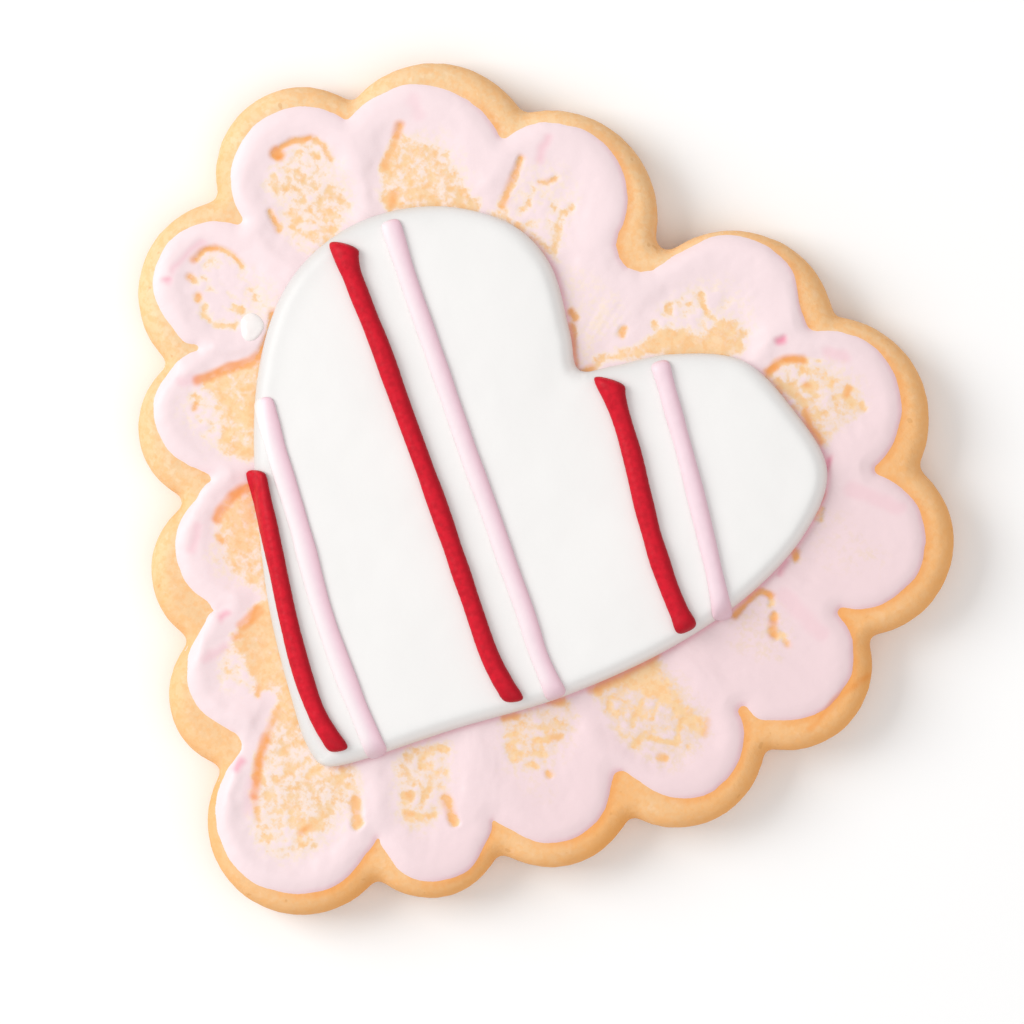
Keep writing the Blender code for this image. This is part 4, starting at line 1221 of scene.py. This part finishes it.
def make_white_heart(sizes, colours):
    """White heart: a slab with a pillowy edge, remeshed, crowned and creased at its notch."""
    base = sizes.biscuit_height - 0.0003
    top = sizes.biscuit_height + sizes.heart_height
    heart = outline_slab("icing_heart", HEART_OUTLINE, base, top)
    round_edges(heart, top, sizes.heart_rounding, 8)
    apply_modifier(heart, "REMESH", mode="VOXEL", voxel_size=HEART_VOXEL, use_smooth_shade=True)
    apply_modifier(heart, "SMOOTH", factor=0.5, iterations=5)
    places = get_places(heart)
    plan = places[:, :2] / MM
    x, y = plan.T
    inside, facing = depth_and_facing(HEART_OUTLINE, plan)
    inside = np.maximum(inside, 0.0)
    share = np.clip((places[:, 2] - base) / (top - base), 0.0, 1.0)
    crown = 0.35 * (1.0 - np.exp(-inside / 5.0))
    away, _ = nearest(smooth_curve(HEART_CREASE, CREASE_STEP, False), plan, False)
    crease = 0.07 * np.exp(-(away / 1.4) ** 2)
    ripple = 0.05 * blotches(x, y, 5.0, 61) + 0.02 * blotches(x, y, 1.8, 62)
    sheltered = step_up(facing, 0.1, 0.8) * (inside < 6.0)
    groove = 0.16 * sheltered * np.exp(-((inside - 0.75) / 0.3) ** 2)
    places[:, 2] += share * (crown - crease + ripple - groove) * MM
    set_places(heart, places)
    # Painted shade on the heart's edge that faces away from the light
    paint(heart, "edge", 0.75 * sheltered * np.exp(-(inside / 0.7) ** 2))
    # Painted darkening of the heart's edge that faces the light, to hold down its light
    paint(heart, "lit", step_up(-facing, 0.0, 0.8) * np.exp(-(inside / 1.8) ** 2))
    finish_piece(heart, white_finish(colours), "white_icing", "white_heart")


def resting_heights(names, places):
    """Height in metres of the highest surface of some pieces under each place."""
    depsgraph = bpy.context.evaluated_depsgraph_get()
    trees = [BVHTree.FromObject(bpy.data.objects[name], depsgraph) for name in names]
    down = Vector((0.0, 0.0, -1.0))
    heights = []
    for x, y in places:
        hits = [tree.ray_cast(Vector((x, y, 0.05)), down)[0] for tree in trees]
        heights.append(max((hit.z for hit in hits if hit is not None), default=0.0))
    return np.array(heights)


def along_and_around(ball, length):
    """Place of each of a sphere's vertices along a bead of some length, and its angle round it."""
    polar = np.arctan2(np.hypot(ball[:, 0], ball[:, 1]), ball[:, 2])
    even = polar / pi
    evenness = step_up(np.minimum(even, 1.0 - even), 0.0, END_ZONE / length)
    share = 0.5 * (1.0 - np.cos(polar)) * (1.0 - evenness) + even * evenness
    return share * length, np.arctan2(ball[:, 1], ball[:, 0])


def make_piped_line(name, shape, seed, ribs, material, slot, node):
    """Bead of icing: a sphere drawn out along its route and laid on what is under it."""
    route, width, height, start_swell, end_swell, start_slant, end_slant = shape
    curve = smooth_curve(route, ROUTE_STEP, False)
    run = np.concatenate(([0.0], np.cumsum(np.hypot(*np.diff(curve, axis=0).T))))
    length = run[-1]
    deselect_all()
    bpy.ops.mesh.primitive_uv_sphere_add(segments=BEAD_SIDES, ring_count=int(length / RING_SPACING),
                                         radius=1.0)
    bead = bpy.context.active_object
    bead.name = name
    along, around = along_and_around(get_places(bead), length)
    half = 0.5 * width
    swell = 1.0 + (start_swell - 1.0) * np.exp(-(along / START_REACH) ** 2)
    swell = swell + (end_swell - 1.0) * np.exp(-((length - along) / END_REACH) ** 2)
    swell = swell + 0.05 * blotches(along, along * 0.0, 3.0, seed)
    wander = 2.0 * blotches(along, seed, 2.0, seed)
    swell = swell + ribs * np.sin(2.0 * pi * along / RIB_SPACING + wander)
    to_end = np.clip(np.minimum(along, length - along) / (TAPER_REACH * half), 0.0, 1.0)
    taper = (1.0 - (1.0 - to_end) ** TAPER_ROUNDNESS) ** (1.0 / TAPER_ROUNDNESS)
    side = half * swell * taper
    x = np.interp(along, run, curve[:, 0])
    y = np.interp(along, run, curve[:, 1])
    tangent = np.gradient(curve, axis=0)
    tangent /= np.hypot(*tangent.T)[:, None]
    tx = np.interp(along, run, tangent[:, 0])
    ty = np.interp(along, run, tangent[:, 1])
    right = np.cos(around)
    across = side * right
    slant = start_slant * np.exp(-(along / SLANT_REACH) ** 2)
    slant = slant + end_slant * np.exp(-((length - along) / SLANT_REACH) ** 2)
    ahead = slant * across
    plan = np.stack((x - ty * across + tx * ahead, y + tx * across + ty * ahead), 1)
    rise = np.sin(around)
    lift = np.where(rise > 0.0, BEAD_FOOT + (1.0 - BEAD_FOOT) * rise, BEAD_FOOT * (1.0 + rise))
    tall = height * np.minimum(swell, 1.15) * taper
    ground = resting_heights(("icing_heart", "brushed_pink_icing", "baked_biscuit"), plan * MM)
    under = -BEAD_SINK * (1.0 - step_up(rise, -0.6, 0.2))
    z = ground / MM + tall * lift + under
    set_places(bead, np.column_stack((plan, z)) * MM)
    # Painted shade on the bead's flank away from the light, with its last stretch darker
    last = 0.6 * step_up(along, length - 3.2, length - 0.6)
    paint(bead, "edge", np.maximum(0.85 * step_up(right, 0.1, 0.9), last))
    # Painted highlight on the flank toward the light, stronger the flatter the line
    faint = min(max(2.2 - 2.0 * height, 0.2), 1.0)
    paint(bead, "thin", faint * step_up(-right, -0.5, 0.7))
    apply_modifier(bead, "SMOOTH", factor=0.4, iterations=2)
    apply_modifier(bead, "SUBSURF", levels=1, render_levels=1)
    make_active(bead)
    bpy.ops.object.mode_set(mode="EDIT")
    face_outwards()
    finish_piece(bead, material, slot, node)


def make_white_drop(sizes):
    """Fallen drop of white icing on the pink icing: a sphere pressed flat and uneven."""
    deselect_all()
    bpy.ops.mesh.primitive_uv_sphere_add(segments=32, ring_count=20, radius=1.0)
    drop = bpy.context.active_object
    drop.name = "white_drop"
    ball = get_places(drop)
    long_way = DROP_LENGTH * ball[:, 0] * (1.0 + 0.12 * ball[:, 1])
    wide_way = DROP_WIDTH * ball[:, 1] * (1.0 + 0.10 * np.sin(3.0 * ball[:, 0]))
    turn = radians(DROP_TURN)
    x = WHITE_DROP[0] + long_way * cos(turn) - wide_way * sin(turn)
    y = WHITE_DROP[1] + long_way * sin(turn) + wide_way * cos(turn)
    plan = np.stack((x, y), 1)
    ground = resting_heights(("brushed_pink_icing",), plan * MM)
    z = ground / MM - 0.05 + np.where(ball[:, 2] > 0.0, DROP_RISE, DROP_SINK) * ball[:, 2]
    set_places(drop, np.column_stack((x, y, z)) * MM)
    apply_modifier(drop, "SUBSURF", levels=1, render_levels=1)
    finish_piece(drop, drop_finish(), "white_icing")


def add_light(name, right, up, height, size, power, colour):
    """Square soft light placed by the picture's directions, aimed at the cookie."""
    deselect_all()
    place = camera_way(right, up) + Vector((0.0, 0.0, height))
    bpy.ops.object.light_add(type="AREA", location=place)
    lamp = bpy.context.active_object
    lamp.name = name
    lamp.data.shape = "SQUARE"
    lamp.data.size = size
    lamp.data.energy = power
    lamp.data.color = colour
    lamp.rotation_euler = (-place).to_track_quat("-Z", "Y").to_euler()


def make_stage():
    """Pale floor, soft window-like light and the camera straight above."""
    deselect_all()
    bpy.ops.mesh.primitive_plane_add(size=3.0, location=(0.0, 0.0, -FLOOR_DROP))
    floor = bpy.context.active_object
    floor.name = "floor"
    floor.data.materials.append(floor_finish())
    for name, settings in LIGHTS.items():
        add_light(name, *settings)
    world = bpy.data.worlds.new("studio")
    world.use_nodes = True
    sky = world.node_tree.nodes["Background"]
    sky.inputs["Color"].default_value = (1.0, 1.0, 1.0, 1.0)
    sky.inputs["Strength"].default_value = SKY_STRENGTH
    bpy.context.scene.world = world
    bpy.ops.object.camera_add()
    camera = bpy.context.active_object
    camera.name = "camera"
    camera.location = (CAMERA_AIM[0] * MM, CAMERA_AIM[1] * MM, CAMERA_DISTANCE + BISCUIT_HIGH.z)
    camera.rotation_euler = (0.0, 0.0, radians(CAMERA_TURN))
    camera.data.sensor_width = SENSOR_WIDTH
    camera.data.lens = SENSOR_WIDTH * CAMERA_DISTANCE / (FRAME_WIDTH * MM)
    camera.data.clip_start = 0.01
    bpy.context.scene.camera = camera
    bpy.context.scene.view_settings.view_transform = "Standard"


class COOKIE_OT_biscuit(bpy.types.Operator):
    """Bake the scalloped biscuit"""

    bl_idname = "cookie.biscuit"
    bl_label = "Bake Biscuit"

    def execute(self, context):
        make_biscuit(context.scene.cookie_sizes, context.scene.cookie_colours)
        return {"FINISHED"}


class COOKIE_OT_pink_icing(bpy.types.Operator):
    """Brush the pink icing round the heart"""

    bl_idname = "cookie.pink_icing"
    bl_label = "Brush Pink Icing"

    def execute(self, context):
        make_pink_icing(context.scene.cookie_sizes, context.scene.cookie_colours)
        return {"FINISHED"}


class COOKIE_OT_white_heart(bpy.types.Operator):
    """Flood the white heart"""

    bl_idname = "cookie.white_heart"
    bl_label = "Flood White Heart"

    def execute(self, context):
        make_white_heart(context.scene.cookie_sizes, context.scene.cookie_colours)
        return {"FINISHED"}


class COOKIE_OT_white_drop(bpy.types.Operator):
    """Let a drop of white icing fall on the pink icing"""

    bl_idname = "cookie.white_drop"
    bl_label = "Drop White Icing"

    def execute(self, context):
        make_white_drop(context.scene.cookie_sizes)
        return {"FINISHED"}


class COOKIE_OT_red_lines(bpy.types.Operator):
    """Pipe the red lines across the heart"""

    bl_idname = "cookie.red_lines"
    bl_label = "Pipe Red Lines"

    def execute(self, context):
        material = red_finish(context.scene.cookie_colours)
        for k, (node, shape) in enumerate(RED_LINES.items()):
            make_piped_line(f"piped_red_{k + 1}", shape, 70 + 3 * k, 0.035, material,
                            "red_icing", node)
        return {"FINISHED"}


class COOKIE_OT_pale_lines(bpy.types.Operator):
    """Pipe the pale pink lines across the heart"""

    bl_idname = "cookie.pale_lines"
    bl_label = "Pipe Pale Pink Lines"

    def execute(self, context):
        material = pale_finish(context.scene.cookie_colours)
        for k, (node, shape) in enumerate(PALE_LINES.items()):
            make_piped_line(f"piped_pink_{k + 1}", shape, 90 + 3 * k, 0.012, material,
                            "pale_pink_icing", node)
        return {"FINISHED"}


class COOKIE_OT_stage(bpy.types.Operator):
    """Set up the floor, the lights and the camera"""

    bl_idname = "cookie.stage"
    bl_label = "Set Stage"

    def execute(self, context):
        make_stage()
        return {"FINISHED"}


OPERATORS = (
    COOKIE_OT_biscuit,
    COOKIE_OT_pink_icing,
    COOKIE_OT_white_heart,
    COOKIE_OT_white_drop,
    COOKIE_OT_red_lines,
    COOKIE_OT_pale_lines,
    COOKIE_OT_stage,
)


class COOKIE_PT_panel(bpy.types.Panel):
    """Lists the cookie's sizes, colours and making steps."""

    bl_idname = "COOKIE_PT_panel"
    bl_label = "Iced Heart Cookie"
    bl_space_type = "VIEW_3D"
    bl_region_type = "UI"
    bl_category = "Cookie"

    def draw(self, context):
        for group in (context.scene.cookie_sizes, context.scene.cookie_colours):
            column = self.layout.column()
            for key in group.__annotations__:
                column.prop(group, key)
        for operator in OPERATORS:
            self.layout.operator(operator.bl_idname)


CLASSES = (CookieSizes, CookieColours, *OPERATORS, COOKIE_PT_panel)


def register():
    """Register the add-on's classes and settings."""
    for cls in CLASSES:
        bpy.utils.register_class(cls)
    bpy.types.Scene.cookie_sizes = PointerProperty(type=CookieSizes)
    bpy.types.Scene.cookie_colours = PointerProperty(type=CookieColours)


def unregister():
    """Take the add-on's classes and settings away."""
    del bpy.types.Scene.cookie_colours
    del bpy.types.Scene.cookie_sizes
    for cls in reversed(CLASSES):
        bpy.utils.unregister_class(cls)


def main():
    """Build the whole cookie."""
    register()
    bpy.ops.cookie.biscuit()
    bpy.ops.cookie.pink_icing()
    bpy.ops.cookie.white_heart()
    bpy.ops.cookie.white_drop()
    bpy.ops.cookie.red_lines()
    bpy.ops.cookie.pale_lines()
    bpy.ops.cookie.stage()


if __name__ == "__main__":
    main()
